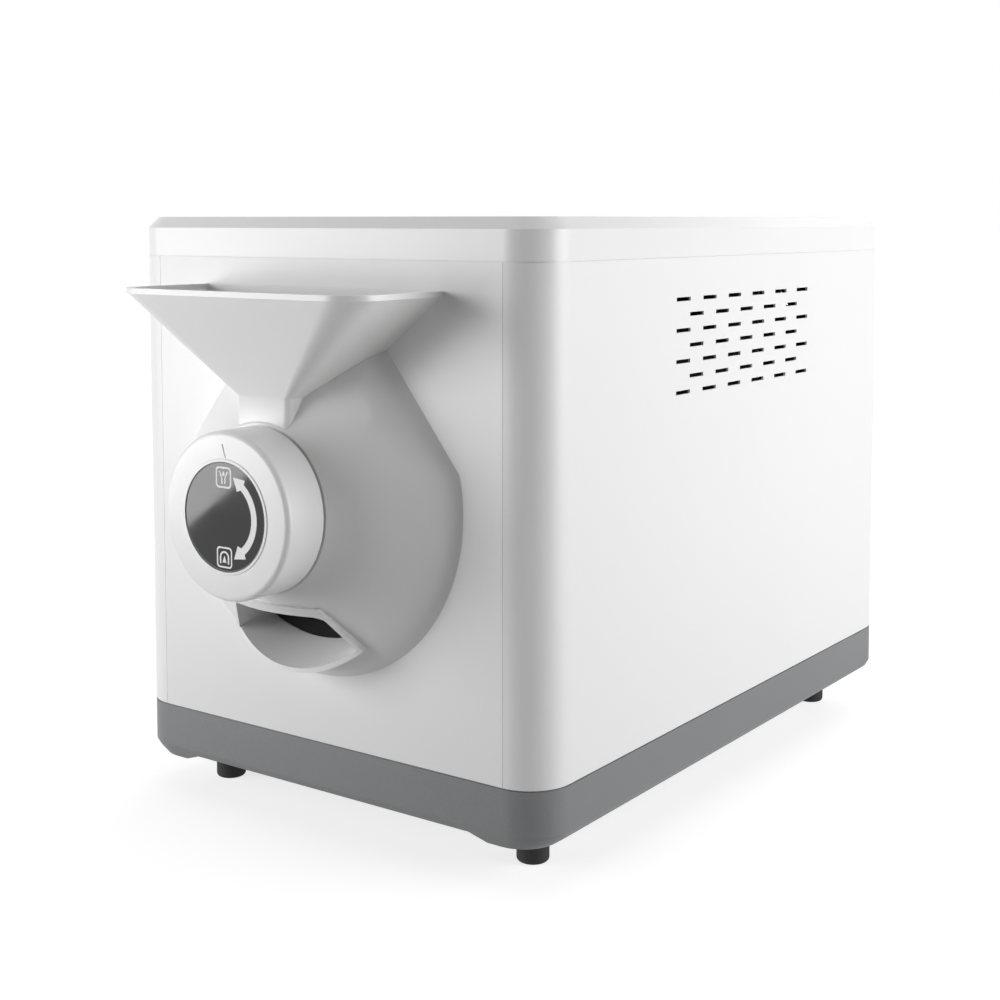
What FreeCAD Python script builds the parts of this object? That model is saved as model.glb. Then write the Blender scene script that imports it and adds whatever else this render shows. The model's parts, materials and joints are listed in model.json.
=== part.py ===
"""Countertop drum roaster for coffee beans: case, feed hopper, dial valve, drum, drive, heating and controls.

Millimetres. +Z is up and the front faces -Y. The origin is at the middle of the footprint, on the table.
The roasting axis runs along Y. On it lie the dial, the diverter scoop, the drum, its shaft and the gearmotor.
"Ahead" is a distance in front of the front panel's outer face, and "behind" a distance behind it.
"""
import FreeCAD, Part
import math
import os

V = FreeCAD.Vector

# ---- Driving dimensions: case ----
BODY_WIDTH = 265.0
BODY_DEPTH = 391.0
CORNER_RADIUS = 22.0
PANEL_HEIGHT = 240.0
PANEL_WALL = 1.2
FLANGE_WIDTH = 11.0
SEAM_GAP = 0.2
GROOVE_DEPTH = 0.6
COVER_HEIGHT = 20.3
COVER_WALL = 2.5
COVER_EDGE = 5.6
LIP_WALL = 1.7
LIP_HEIGHT = 6.0
LIP_CLEARANCE = 0.3
BASE_HEIGHT = 25.9
BASE_WALL = 3.0
BASE_GROOVE = 0.7
BEVEL_HEIGHT = 3.4
BEVEL_DEPTH = 2.0
PAD_DROP = 3.5
PAD_LENGTH = 33.0
PAD_SLOPE = 10.0
PAD_DEPTH = 52.0
PAD_FACE = 3.5
PAD_SIDE = 7.0
PAD_CORNER = 18.0
FOOT_HEIGHT = 22.6
FOOT_RADIUS = 8.0
FOOT_EDGE = 2.0
FOOT_INSET_X = 31.0
FOOT_INSET_Y = 38.0

# ---- Vents in the base and the sides ----
BASE_VENTS = 11
BASE_VENT_PITCH = 14.0
BASE_VENT_LENGTH = 90.0
BASE_VENT_WIDTH = 4.0
VENT_ROWS = 7
VENT_SLOTS = 6
SLOT_LENGTH = 14.4
SLOT_HEIGHT = 2.0
SLOT_PITCH = 27.8
ROW_PITCH = 7.85
VENT_START = 119.0
VENT_DROP = 44.5

# ---- Nose, dial and valve, all about the roasting axis ----
NOSE_RADIUS = 88.5
NOSE_RIM = 8.5
NOSE_DRAFT = 5.9
NOSE_TIP_RADIUS = 40.6
NOSE_LENGTH = 40.0
NOSE_WALL = 2.5
NOSE_FACE = 3.0
NOSE_FLANGE = 4.0
NOSE_SCREW_ANGLES = (4.0, 176.0, 225.0, 315.0)
NOSE_SEAT = 18.5
FLAT_ANGLES = (37.6, 142.4)
FLAT_RADIUS = 80.0
FLAT_DRAFT = 0.6
FLANGE_OVERLAP = 6.0
RUNNING = 0.05
MOVING_GAP = 0.3
SEAT_GAP = 0.1
DIAL_RADIUS = 39.6
DIAL_GAP = 0.8
DIAL_LENGTH = 23.8
DIAL_WALL = 2.5
DIAL_EDGE = 2.6
DIAL_RIM_TOP = 1.1
DIAL_RIM_FOOT = 1.5
FACE_RADIUS = 25.3
FACE_THICKNESS = 1.4
FACE_RIM = 0.4
POINTER_LENGTH = 6.5
POINTER_WIDTH = 0.7
POINTER_DEPTH = 0.4
POINTER_INSET = 5.8
POINTER_LEAN = 18.0
SCOOP_RADIUS = 34.0
SCOOP_WALL = 2.5
SCOOP_BOSS = 6.0
HUB_RADIUS = 24.0
HUB_STEP = 1.2
DIAL_SCREW_ANGLES = (30.0, 150.0, 270.0)
FACE_SOCKET_DEPTH = 8.0
SPINDLE_GAP = 1.0
SCOOP_GAP = 1.0
CUP_STEP = 4.5
SPINDLE_RADIUS = 4.0
SPIDER_ARM = 5.0
SPIDER_ANGLES = (30.0, 90.0, 150.0)
SPIDER_RIM = 7.0
SPIDER_THICKNESS = 3.0

# ---- Discharge chute ----
MOUTH_ANGLE = 31.5
MOUTH_HEIGHT = 19.6
MOUTH_CORNER = 5.0
CHUTE_WALL = 2.2
BROW_WALL = 4.4
BROW_PROUD = 2.2
BROW_DEPTH = 6.0
TRAY_INSET = 18.9
TRAY_DROP = 9.9
LIP_REACH = 23.0
LIP_END_REACH = 15.5
LIP_END_STEP = 3.0
MOUTH_FRONT_GAP = 1.0

# ---- Feed hopper ----
HOPPER_TOP = 103.2
HOPPER_RIM = 2.6
HOPPER_HALF_WIDTH = 77.3
HOPPER_REACH = 62.4
HOPPER_CORNER = 18.0
HOPPER_WALL = 2.2
RIM_STEP = 0.9
NECK_HEIGHT = 52.8
NECK_HALF_WIDTH = 16.8
NECK_SETBACK = 0.6
NECK_CORNER = 3.0

# ---- Frame plates, drum and roasting chamber ----
PLATE = 1.5
PLATE_MARGIN = 26.0
PLATE_TOP_GAP = 1.0
FOOT_FLANGE = 16.0
DRUM_RADIUS = 88.0
DRUM_WALL = 1.0
DRUM_CONE = 16.0
DRUM_END = 2.0
DRUM_END_GAP = 6.0
COLLAR_RADIUS = 60.0
COLLAR_WALL = 1.5
RING_LENGTH = 10.0
RING_WALL = 6.0
RING_FLANGE = 12.0
RING_FLANGE_THICKNESS = 3.0
COLLAR_REST = 2.0
COLLAR_INSET = 1.0
VANE_COUNT = 3
VANE_HEIGHT = 18.0
VANE_THICKNESS = 1.6
VANE_TWIST = 75.0
VANE_START = 8.0
CHAMBER_GAP = 12.0
CHAMBER_WALL = 0.8
BLANKET = 8.0
BLANKET_MARGIN = 4.0
TOP_ROOM = 8.2
HEATER_ANGLES = (210.0, 250.0, 290.0, 330.0)
HEATER_RADIUS = 3.5
BUSH_GAP = 0.6
BUSH_RADIUS = 5.4
BUSH_LENGTH = 8.0
BUSH_FLOOR = 2.0
BUSH_COLLAR = 2.0
BUSH_COLLAR_THICKNESS = 3.0
BUSH_INNER_LENGTH = 3.0
HEATER_TAIL = 14.0
PROBE_ANGLE = 60.0
PROBE_RADIUS = 1.5
PROBE_LENGTH = 30.0
GLAND_RADIUS = 5.0
GLAND_LENGTH = 4.0

# ---- Drive ----
SHAFT_RADIUS = 6.0
DRUM_HUB_RADIUS = 24.0
DRUM_HUB_LENGTH = 5.0
BEARING_RADIUS = 15.0
BEARING_LENGTH = 12.0
BEARING_FLANGE = 22.0
BEARING_FLANGE_THICKNESS = 3.0
COUPLING_RADIUS = 11.0
COUPLING_LENGTH = 22.0
COUPLING_ROOM = 4.0
COUPLING_GAP = 4.0
SHAFT_END_GAP = 0.2
MOTOR_SHAFT_RADIUS = 4.0
POST_RADIUS = 4.0
POST_OFFSET = 32.0
POST_MARGIN = 3.0
GEARBOX_RADIUS = 30.0
GEARBOX_LENGTH = 36.0
GEARBOX_BOSS = 12.0
MOTOR_RADIUS = 25.0
MOTOR_LENGTH = 34.0
MOTOR_REAR_GAP = 1.0

# ---- Rear panel: fan, inlet and switch ----
FAN_SIZE = 80.0
FAN_DEPTH = 20.0
FAN_RIM = 3.0
FAN_HUB = 15.0
FAN_BLADES = 7
BLADE_PITCH = 52.0
BLADE_THICKNESS = 1.6
BLADE_TIP_GAP = 1.5
FAN_STRUT = 3.0
FAN_PIN_RADIUS = 2.0
FAN_SCREW_INSET = 4.5
REAR_SCREW_DROP = 30.0
FAN_X = 40.0
FAN_DROP = 10.0
GRILLE_SLOT = 3.0
GRILLE_PITCH = 7.0
GRILLE_ROWS = 9
REAR_PROUD = 2.0
INLET_X = -62.0
INLET_HEIGHT = 34.0
INLET_WIDTH = 27.0
INLET_TALL = 20.0
INLET_DEPTH = 18.0
INLET_FLANGE = 5.0
INLET_WALL = 1.5
INLET_FLOOR = 3.0
INLET_CHAMFER = 4.0
PIN_WIDTH = 2.0
PIN_TALL = 4.0
PIN_SPREAD = 7.0
PIN_RISE = 5.0
PIN_SET_BACK = 3.0
PIN_TAIL = 4.0
PANEL_CUT_GAP = 0.2
SWITCH_SPACING = 13.5
SWITCH_WIDTH = 15.0
SWITCH_TALL = 22.0
SWITCH_DEPTH = 14.0
SWITCH_FLANGE = 2.5
SWITCH_PROUD = 1.0
SWITCH_WALL = 1.5
SWITCH_FLOOR = 2.0
ROCKER_PIVOT_DEPTH = 3.8
ROCKER_CREST = 3.4
ROCKER_RISE = 1.2
ROCKER_BACK = 3.0
ROCKER_TILT = 8.0

# ---- Top controls ----
DECK_WIDTH = 150.0
DECK_DEPTH = 58.0
DECK_SETBACK = 26.0
DECK_RECESS = 1.2
OVERLAY_DROP = 0.2
DECK_CORNER = 5.0
DECK_CLEARANCE = 0.3
DISPLAY_WIDTH = 62.0
DISPLAY_DEPTH = 18.0
DISPLAY_OFFSET = 12.0
BUTTON_NAMES = ("power_button", "minus_button", "plus_button", "start_button")
BUTTON_RADIUS = 6.5
BUTTON_MARGIN = 27.0
BUTTON_OFFSET = -14.0
BUTTON_EDGE = 0.4
BUTTON_TRAVEL = 1.0
BUTTON_FLANGE = 1.4
BUTTON_SHOULDER = 1.5
STEM_RADIUS = 2.5
STEM_LENGTH = 4.5
BOARD_DEPTH = 46.0
BOARD_THICKNESS = 1.6
BOARD_DROP = 12.0
POST_SLEEVE = 1.5
BOARD_SCREW_INSET_X = 8.0
BOARD_SCREW_INSET_Y = 5.0
KEY_SIZE = 6.0
KEY_TIP = 0.6
KEY_TIP_RADIUS = 1.6

# ---- Power board ----
POWER_BOARD_WIDTH = 90.0
POWER_BOARD_DEPTH = 60.0
POWER_BOARD_X = 40.0
STAND_HEIGHT = 8.0
STAND_INSET = 6.0
RELAY_INSET = 12.0
RELAY_WIDTH = 19.0
RELAY_DEPTH = 16.0
RELAY_HEIGHT = 15.0
SINK_WIDTH = 34.0
SINK_DEPTH = 26.0
SINK_HEIGHT = 18.0
SINK_ROOT = 3.0
FIN_COUNT = 5
FIN_THICKNESS = 2.0

# ---- Fasteners ----
REAR_SCREW_LENGTH = 7.0
SCREW_RADIUS = 1.5
SCREW_HEAD = 2.8
HEAD_HEIGHT = 1.8
SCREW_LENGTH = 7.0
SCREW_GAP = 0.05
SCREW_TIP_GAP = 0.5
HEAD_ROOM = 1.0
HEAD_WALL = 0.6

# ---- Levels and stations worked out from them ----
BASE_Z = FOOT_HEIGHT
PAD_Z = BASE_Z - PAD_DROP
CASE_Z = BASE_Z + BASE_HEIGHT
SEAM_Z = CASE_Z + PANEL_HEIGHT
TOP_Z = SEAM_Z + COVER_HEIGHT
CHAMBER_RADIUS = DRUM_RADIUS + CHAMBER_GAP
BLANKET_RADIUS = CHAMBER_RADIUS + CHAMBER_WALL + BLANKET
HEATER_CIRCLE = CHAMBER_RADIUS - BUSH_RADIUS - BUSH_GAP
AXIS_Z = SEAM_Z - TOP_ROOM - BLANKET_RADIUS
PANEL_HOLE = NOSE_RADIUS - NOSE_SEAT
TRAY_RADIUS = NOSE_RADIUS - TRAY_INSET
MOUTH_TOP = TRAY_RADIUS - MOUTH_HEIGHT
NECK_REACH = NOSE_LENGTH - NECK_SETBACK
FLOOR_Z = BASE_Z + BASE_WALL
KNOB_REAR = NOSE_LENGTH + DIAL_GAP
KNOB_REACH = KNOB_REAR + DIAL_LENGTH
FRONT = (KNOB_REACH - BODY_DEPTH - REAR_PROUD) / 2
BACK = FRONT + BODY_DEPTH
HALF = BODY_WIDTH / 2
SEAM_X = HALF - CORNER_RADIUS
LIP_INSET = PANEL_WALL + LIP_CLEARANCE
PLATE_Y = FRONT + LIP_INSET + LIP_WALL
PLATE_BACK = PLATE_Y + PLATE
COLLAR_END = PLATE_BACK + RING_LENGTH + COLLAR_REST
DRUM_FRONT = COLLAR_END + DRUM_CONE
MOTOR_END = BACK - PANEL_WALL - FAN_DEPTH - MOTOR_REAR_GAP
GEARBOX_Y = MOTOR_END - MOTOR_LENGTH - GEARBOX_LENGTH
MOTOR_PLATE = GEARBOX_Y - PLATE
POST_LENGTH = BEARING_LENGTH + COUPLING_ROOM + COUPLING_LENGTH + COUPLING_GAP
REAR_PLATE_BACK = MOTOR_PLATE - POST_LENGTH
REAR_PLATE = REAR_PLATE_BACK - PLATE
DRUM_REAR = REAR_PLATE - DRUM_END_GAP
DRUM_BACK = DRUM_REAR - DRUM_END
DRUM_LENGTH = DRUM_BACK - DRUM_FRONT
PLATE_HALF = SEAM_X - SEAM_GAP / 2
PLATE_TOP = SEAM_Z - LIP_HEIGHT - PLATE_TOP_GAP
BEARING_END = REAR_PLATE_BACK + BEARING_LENGTH
COUPLING_Y = MOTOR_PLATE - COUPLING_GAP - COUPLING_LENGTH
COUPLING_MIDDLE = COUPLING_Y + COUPLING_LENGTH / 2
FACE_PLANE = KNOB_REACH - FACE_RIM
RECESS_FLOOR = FACE_PLANE - FACE_THICKNESS
RECESS_RADIUS = FACE_RADIUS + MOVING_GAP
FACE_SOCKET = RECESS_FLOOR - FACE_SOCKET_DEPTH
SPINDLE_END = RECESS_FLOOR - SPINDLE_GAP
CUP_RADIUS = RECESS_RADIUS - CUP_STEP
NOSE_INNER = NOSE_LENGTH - NOSE_FACE
SCOOP_FRONT = NOSE_INNER - SCOOP_GAP
WEB_REAR = KNOB_REAR + HUB_STEP
WEB_FRONT = WEB_REAR + DIAL_WALL
DIAL_SCREW_CIRCLE = CUP_RADIUS - SCREW_HEAD - HEAD_WALL
FAN_BORE = FAN_SIZE / 2 - FAN_RIM
FAN_Z = SEAM_Z - FAN_DROP - FAN_SIZE / 2
FAN_BACK = BACK - PANEL_WALL
INLET_Z = CASE_Z + INLET_HEIGHT
SWITCH_Z = INLET_Z + INLET_TALL / 2 + INLET_FLANGE + SWITCH_SPACING + SWITCH_TALL / 2 + SWITCH_FLANGE
DECK_Y = FRONT + DECK_SETBACK + DECK_DEPTH / 2
BUTTON_Y = DECK_Y + BUTTON_OFFSET
BUTTON_PITCH = (DECK_WIDTH - 2 * BUTTON_MARGIN) / (len(BUTTON_NAMES) - 1)
BUTTON_XS = [index * BUTTON_PITCH - DECK_WIDTH / 2 + BUTTON_MARGIN for index in range(len(BUTTON_NAMES))]
BUTTON_UNDER = TOP_Z - COVER_WALL - MOVING_GAP
STEM_END = BUTTON_UNDER - BUTTON_FLANGE - STEM_LENGTH
BOARD_Z = TOP_Z - COVER_WALL - BOARD_DROP
DISPLAY_Y = DECK_Y + DISPLAY_OFFSET
STAND_TOP = FLOOR_Z + STAND_HEIGHT
POWER_BOARD_Y = (REAR_PLATE_BACK + BACK) / 2


def ahead(distance):
    """Y of a point this far in front of the front panel."""
    return FRONT - distance


def box(x0, x1, y0, y1, z0, z1):
    return Part.makeBox(x1 - x0, y1 - y0, z1 - z0, V(x0, y0, z0))


def rod_y(radius, y0, y1, x=0.0, z=AXIS_Z):
    return Part.makeCylinder(radius, y1 - y0, V(x, y0, z), V(0, 1, 0))


def rod_z(radius, z0, z1, x, y):
    return Part.makeCylinder(radius, z1 - z0, V(x, y, z0))


def tube_y(outer, inner, y0, y1, x=0.0, z=AXIS_Z):
    return rod_y(outer, y0, y1, x, z).cut(rod_y(inner, y0, y1, x, z))


def fuse(shapes):
    """One solid from touching or overlapping shapes."""
    joined = shapes[0].fuse(shapes[1:]) if len(shapes) > 1 else shapes[0]
    return joined.removeSplitter()


def polar(radius, angle):
    """X and Z of a point about the roasting axis; the angle starts at +X and turns towards +Z."""
    turn = math.radians(angle)
    return radius * math.cos(turn), AXIS_Z + radius * math.sin(turn)


def turned(profile):
    """Solid of revolution about the roasting axis, from (radius, distance ahead) corners."""
    points = [V(radius, ahead(distance), AXIS_Z) for radius, distance in profile]
    face = Part.Face(Part.makePolygon(points + points[:1]))
    return face.revolve(V(0, 0, AXIS_Z), V(0, 1, 0), 360)


def rounded_wire(x0, x1, y0, y1, z, front_radius, back_radius):
    """Level outline with two front and two back corner radii. A radius of 0 leaves a sharp corner."""
    corners = [
        (x0, y0, 1, 1, front_radius),
        (x1, y0, -1, 1, front_radius),
        (x1, y1, -1, -1, back_radius),
        (x0, y1, 1, -1, back_radius),
    ]
    stations = []
    for x, y, inward_x, inward_y, radius in corners:
        along_x = V(x + inward_x * radius, y, z)
        along_y = V(x, y + inward_y * radius, z)
        start, end = (along_y, along_x) if inward_x == inward_y else (along_x, along_y)
        cut_back = radius * (1 - math.sqrt(0.5))
        stations.append((start, V(x + inward_x * cut_back, y + inward_y * cut_back, z), end, radius))
    edges = []
    for index, (start, middle, end, radius) in enumerate(stations):
        if radius > 0:
            edges.append(Part.Arc(start, middle, end).toShape())
        following = stations[(index + 1) % len(stations)][0]
        if end.distanceToPoint(following) > 1e-6:
            edges.append(Part.makeLine(end, following))
    return Part.Wire(edges)


def prism(wire, height):
    return Part.Face(wire).extrude(V(0, 0, height))


def case_wire(inset, z):
    """Outline of the case, drawn in all round by the inset."""
    radius = CORNER_RADIUS - inset
    return rounded_wire(-HALF + inset, HALF - inset, FRONT + inset, BACK - inset, z, radius, radius)


def case_block(inset, z0, z1):
    return prism(case_wire(inset, z0), z1 - z0)


def case_ring(outer_inset, inner_inset, z0, z1):
    return case_block(outer_inset, z0, z1).cut(case_block(inner_inset, z0, z1))


def bevelled_block(inset, z0, z1, edge):
    """Case block whose upper edge is cut at 45 degrees."""
    bevel = Part.makeLoft([case_wire(inset, z1 - edge), case_wire(inset + edge, z1)], True, True)
    return fuse([case_block(inset, z0, z1 - edge), bevel])


def mirrored_x(shape):
    return shape.mirror(V(0, 0, 0), V(1, 0, 0))


def mirrored_y(shape):
    return shape.mirror(V(0, (FRONT + BACK) / 2, 0), V(0, 1, 0))


def screw(x, y, z, direction, length=SCREW_LENGTH):
    """Pan-head screw: the head's seat is at the point, and the shank runs on along the direction."""
    point = V(x, y, z)
    shank = Part.makeCylinder(SCREW_RADIUS, length, point, direction)
    head = Part.makeCylinder(SCREW_HEAD, HEAD_HEIGHT, point - direction * HEAD_HEIGHT, direction)
    return fuse([shank, head])


def screw_hole(x, y, z, direction, length=SCREW_LENGTH):
    """Room for that screw's shank, a little longer than the shank at both ends."""
    start = V(x, y, z) - direction * HEAD_HEIGHT
    return Part.makeCylinder(SCREW_RADIUS + SCREW_GAP, length + HEAD_HEIGHT + SCREW_GAP, start, direction)


# ---- Case ----
def vent_slots():
    """Staggered rows of slots in the right side; every second row has one slot fewer."""
    slots = []
    for row in range(VENT_ROWS):
        z = SEAM_Z - VENT_DROP + (VENT_ROWS // 2 - row) * ROW_PITCH
        staggered = row % 2
        for index in range(VENT_SLOTS - staggered):
            y = FRONT + VENT_START + (index + staggered / 2) * SLOT_PITCH
            slots.append(box(HALF - 2 * PANEL_WALL, HALF + 1, y, y + SLOT_LENGTH, z - SLOT_HEIGHT / 2, z + SLOT_HEIGHT / 2))
    return slots


def right_side_panel():
    """Sheet bent round both corners, with a stepped flange behind the front and the rear panel."""
    edge = SEAM_X + SEAM_GAP / 2
    sheet = case_ring(0, PANEL_WALL, CASE_Z, SEAM_Z).common(box(edge, HALF, FRONT, BACK, CASE_Z, SEAM_Z))
    flange = box(
        SEAM_X - FLANGE_WIDTH, edge + PANEL_WALL, FRONT + PANEL_WALL, FRONT + 2 * PANEL_WALL,
        CASE_Z + 2 * LIP_HEIGHT, SEAM_Z - 2 * LIP_HEIGHT,
    )
    holes = [screw_hole(x, BACK, z, V(0, -1, 0)) for x, z in rear_panel_screw_places() if x > 0]
    return fuse([sheet, flange, mirrored_y(flange)]).cut(vent_slots() + holes)


def flat_panel():
    return box(-SEAM_X + SEAM_GAP / 2, SEAM_X - SEAM_GAP / 2, FRONT, FRONT + PANEL_WALL, CASE_Z, SEAM_Z)


def nose_screw_places():
    radius = (PANEL_HOLE + FLANGE_OVERLAP + NOSE_RADIUS - NOSE_DRAFT) / 2
    return [polar(radius, angle) for angle in NOSE_SCREW_ANGLES]


def front_panel():
    holes = [screw_hole(x, FRONT + PANEL_WALL, z, V(0, -1, 0)) for x, z in nose_screw_places()]
    holes += [screw_hole(x, FRONT + PANEL_WALL, z, V(0, -1, 0)) for x, z in hopper_screw_places()]
    opening = rod_y(PANEL_HOLE, FRONT, FRONT + PANEL_WALL)
    return flat_panel().cut([opening] + holes)


def top_cover():
    """Moulded cover with a bevelled upper edge, a locating lip and a recessed deck for the controls."""
    outer = bevelled_block(0, SEAM_Z, TOP_Z, COVER_EDGE)
    inner_edge = COVER_EDGE - COVER_WALL * (2 - math.sqrt(2))
    hollow = bevelled_block(COVER_WALL, SEAM_Z - LIP_HEIGHT, TOP_Z - COVER_WALL, inner_edge)
    groove = case_ring(0, GROOVE_DEPTH, SEAM_Z, SEAM_Z + SEAM_GAP)
    lip = case_ring(LIP_INSET, LIP_INSET + LIP_WALL, SEAM_Z - LIP_HEIGHT, SEAM_Z + LIP_HEIGHT)
    shell = outer.cut([hollow, groove])
    sleeve = SCREW_RADIUS + POST_SLEEVE
    posts = [rod_z(sleeve, BOARD_Z + BOARD_THICKNESS, TOP_Z - COVER_WALL, x, y) for x, y in board_post_places()]
    cover = fuse([shell, lip] + posts)
    deck = prism(deck_wire(0, TOP_Z - DECK_RECESS), DECK_RECESS + 1)
    button_holes = [rod_z(BUTTON_RADIUS + MOVING_GAP, TOP_Z - 2 * COVER_WALL, TOP_Z, x, BUTTON_Y) for x in BUTTON_XS]
    post_holes = [screw_hole(x, y, BOARD_Z, V(0, 0, 1)) for x, y in board_post_places()]
    return cover.cut([deck] + button_holes + post_holes)


def base_pad():
    """Lower pad round the right front foot: tapered outer sides, ramped up to the straight edge elsewhere."""
    inner = HALF - PAD_LENGTH
    rear = FRONT + PAD_DEPTH
    ramps = Part.makeLoft([
        rounded_wire(inner, HALF, FRONT, rear, PAD_Z, 0, 0),
        rounded_wire(inner - PAD_SLOPE, HALF, FRONT, rear + PAD_SLOPE, BASE_Z, 0, 0),
    ], True, True)
    side = HALF - PAD_SIDE
    taper = Part.makeLoft([
        rounded_wire(-side, side, FRONT + PAD_FACE, BACK - PAD_FACE, PAD_Z, PAD_CORNER, PAD_CORNER),
        case_wire(BEVEL_DEPTH, BASE_Z),
    ], True, True)
    return ramps.common(taper)


def base_tray():
    """Grey tray: bevelled lower edge, corner pads with sockets for the feet, vents, and a lip inside the panels."""
    bevel = Part.makeLoft([case_wire(BEVEL_DEPTH, BASE_Z), case_wire(0, BASE_Z + BEVEL_HEIGHT)], True, True)
    wall = case_block(0, BASE_Z + BEVEL_HEIGHT, CASE_Z)
    pad = base_pad()
    pads = [pad, mirrored_x(pad), mirrored_y(pad), mirrored_x(mirrored_y(pad))]
    body = fuse([wall, bevel] + pads)
    hollow = case_block(BASE_WALL, FLOOR_Z, CASE_Z)
    groove = case_ring(0, GROOVE_DEPTH, CASE_Z - BASE_GROOVE, CASE_Z)
    lip = case_ring(LIP_INSET, LIP_INSET + LIP_WALL, CASE_Z - LIP_HEIGHT, CASE_Z + LIP_HEIGHT)
    vents = []
    for index in range(BASE_VENTS):
        y = (FRONT + BACK) / 2 + (index - (BASE_VENTS - 1) / 2) * BASE_VENT_PITCH
        half_x, half_y = BASE_VENT_LENGTH / 2, BASE_VENT_WIDTH / 2
        vents.append(box(-half_x, half_x, y - half_y, y + half_y, BASE_Z, FLOOR_Z))
    holes = [screw_hole(x, y, BASE_Z, V(0, 0, 1)) for x, y in foot_places()]
    holes += [rod_z(FOOT_RADIUS + SEAT_GAP, PAD_Z, BASE_Z, x, y) for x, y in foot_places()]
    holes += [screw_hole(x, y, FLOOR_Z + PLATE, V(0, 0, -1), BASE_WALL + PLATE) for x, y in frame_screw_places()]
    holes += [screw_hole(x, y, STAND_TOP + BOARD_THICKNESS, V(0, 0, -1)) for x, y in stand_places()]
    sleeve = SCREW_RADIUS + POST_SLEEVE
    stands = [rod_z(sleeve, FLOOR_Z, STAND_TOP, x, y) for x, y in stand_places()]
    return fuse([body.cut([hollow, groove]), lip] + stands).cut(vents + holes)


def foot_places():
    x = HALF - FOOT_INSET_X
    return [(sx * x, y) for sx in (-1, 1) for y in (FRONT + FOOT_INSET_Y, BACK - FOOT_INSET_Y)]


def feet():
    """Rubber feet with a rounded lower edge and a recess for their screw."""
    made = []
    for x, y in foot_places():
        foot = rod_z(FOOT_RADIUS, 0, BASE_Z, x, y)
        lower = [e for e in foot.Edges if max(v.Z for v in e.Vertexes) < 0.01]
        foot = foot.makeFillet(FOOT_EDGE, lower)
        recess = rod_z(SCREW_HEAD + HEAD_ROOM, 0, BASE_Z / 2, x, y)
        made.append(foot.cut([recess, screw_hole(x, y, BASE_Z / 2, V(0, 0, 1), BASE_Z)]))
    return Part.makeCompound(made)


def foot_screws():
    length = BASE_Z / 2 + BASE_WALL - 2 * SCREW_TIP_GAP
    return Part.makeCompound([screw(x, y, BASE_Z / 2, V(0, 0, 1), length) for x, y in foot_places()])


# ---- Nose, chute and hopper ----
def cone_slope():
    """How much the cone's radius falls in each millimetre ahead."""
    return (NOSE_RADIUS - NOSE_DRAFT - NOSE_TIP_RADIUS) / (NOSE_LENGTH - NOSE_RIM)


def cone_radius(distance, offset=0.0):
    """Radius of the nose's cone at a distance ahead; the offset moves the surface out along its normal."""
    slope = cone_slope()
    return NOSE_RADIUS - NOSE_DRAFT - slope * (distance - NOSE_RIM) + offset * math.hypot(1, slope)


def cone_distance(radius, offset=0.0):
    """Distance ahead at which the cone, moved out by the offset, has this radius."""
    return (cone_radius(0, offset) - radius) / cone_slope()


def nose_profile(offset, start, end):
    """Corners of the nose's outer surface, rim wall and cone, moved out by the offset."""
    rim_slope = NOSE_DRAFT / NOSE_RIM
    slope = cone_slope()
    rim_shift = offset * math.hypot(1, rim_slope)
    corner = NOSE_RIM + offset * (math.hypot(1, slope) - math.hypot(1, rim_slope)) / (slope - rim_slope)
    return [
        (NOSE_RADIUS - rim_slope * start + rim_shift, start), (cone_radius(corner, offset), corner),
        (cone_radius(end, offset), end),
    ]


def nose_envelope(offset):
    """Everything inside the nose's outer surface, grown by the offset."""
    tip = NOSE_LENGTH + offset
    return turned([(0, 0)] + nose_profile(offset, 0, tip) + [(0, tip)])


def beyond_flat(angle, inset):
    """Space outside one of the two flats on the nose's upper flanks, moved in by the inset."""
    across = 2 * NOSE_RADIUS
    start = FLAT_RADIUS - inset * math.hypot(1, FLAT_DRAFT)
    corners = [(start, 0), (start - FLAT_DRAFT * NOSE_LENGTH, NOSE_LENGTH), (across, NOSE_LENGTH), (across, 0)]
    points = [V(radius, ahead(distance), AXIS_Z - across / 2) for radius, distance in corners]
    space = Part.Face(Part.makePolygon(points + points[:1])).extrude(V(0, 0, across))
    space.rotate(V(0, 0, AXIS_Z), V(0, -1, 0), angle)
    return space


def mouth_wedge(shift, y0, y1):
    """Wedge that opens downwards from the axis; the shift draws its sides in."""
    half = math.radians(MOUTH_ANGLE)
    apex_z = AXIS_Z - shift / math.sin(half)
    reach = 2 * NOSE_RADIUS
    spread = (reach - (AXIS_Z - apex_z)) * math.tan(half)
    points = [V(0, y0, apex_z), V(-spread, y0, AXIS_Z - reach), V(spread, y0, AXIS_Z - reach)]
    return Part.Face(Part.makePolygon(points + points[:1])).extrude(V(0, y1 - y0, 0))


def below(height):
    """Slab of space below a height under the axis."""
    drop = 2 * NOSE_RADIUS
    top = AXIS_Z - height
    return box(-drop, drop, ahead(KNOB_REACH), FRONT, top - drop, top)


def tray_cone(extra):
    """Inside of the tray, grown by a wall."""
    slope = TRAY_DROP / LIP_REACH
    reach = KNOB_REACH
    start = TRAY_RADIUS + extra * math.hypot(1, slope)
    return turned([(0, 0), (start, 0), (start + slope * reach, reach), (0, reach)])


def mouth_limit():
    """Front limit of the mouth's walls: proud of the cone at the brow, and more so at the lip's ends."""
    corner = MOUTH_TOP / math.cos(math.radians(MOUTH_ANGLE))
    end_radius = TRAY_RADIUS + TRAY_DROP
    brow = cone_distance(corner, BROW_PROUD)
    front = NOSE_LENGTH - MOUTH_FRONT_GAP
    outer = end_radius + 2 * CHUTE_WALL
    return turned([
        (0, 0), (outer, 0), (outer, LIP_END_REACH - LIP_END_STEP), (end_radius, LIP_END_REACH),
        (corner, brow), (cone_radius(front, BROW_PROUD), front), (0, front),
    ])


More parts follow.
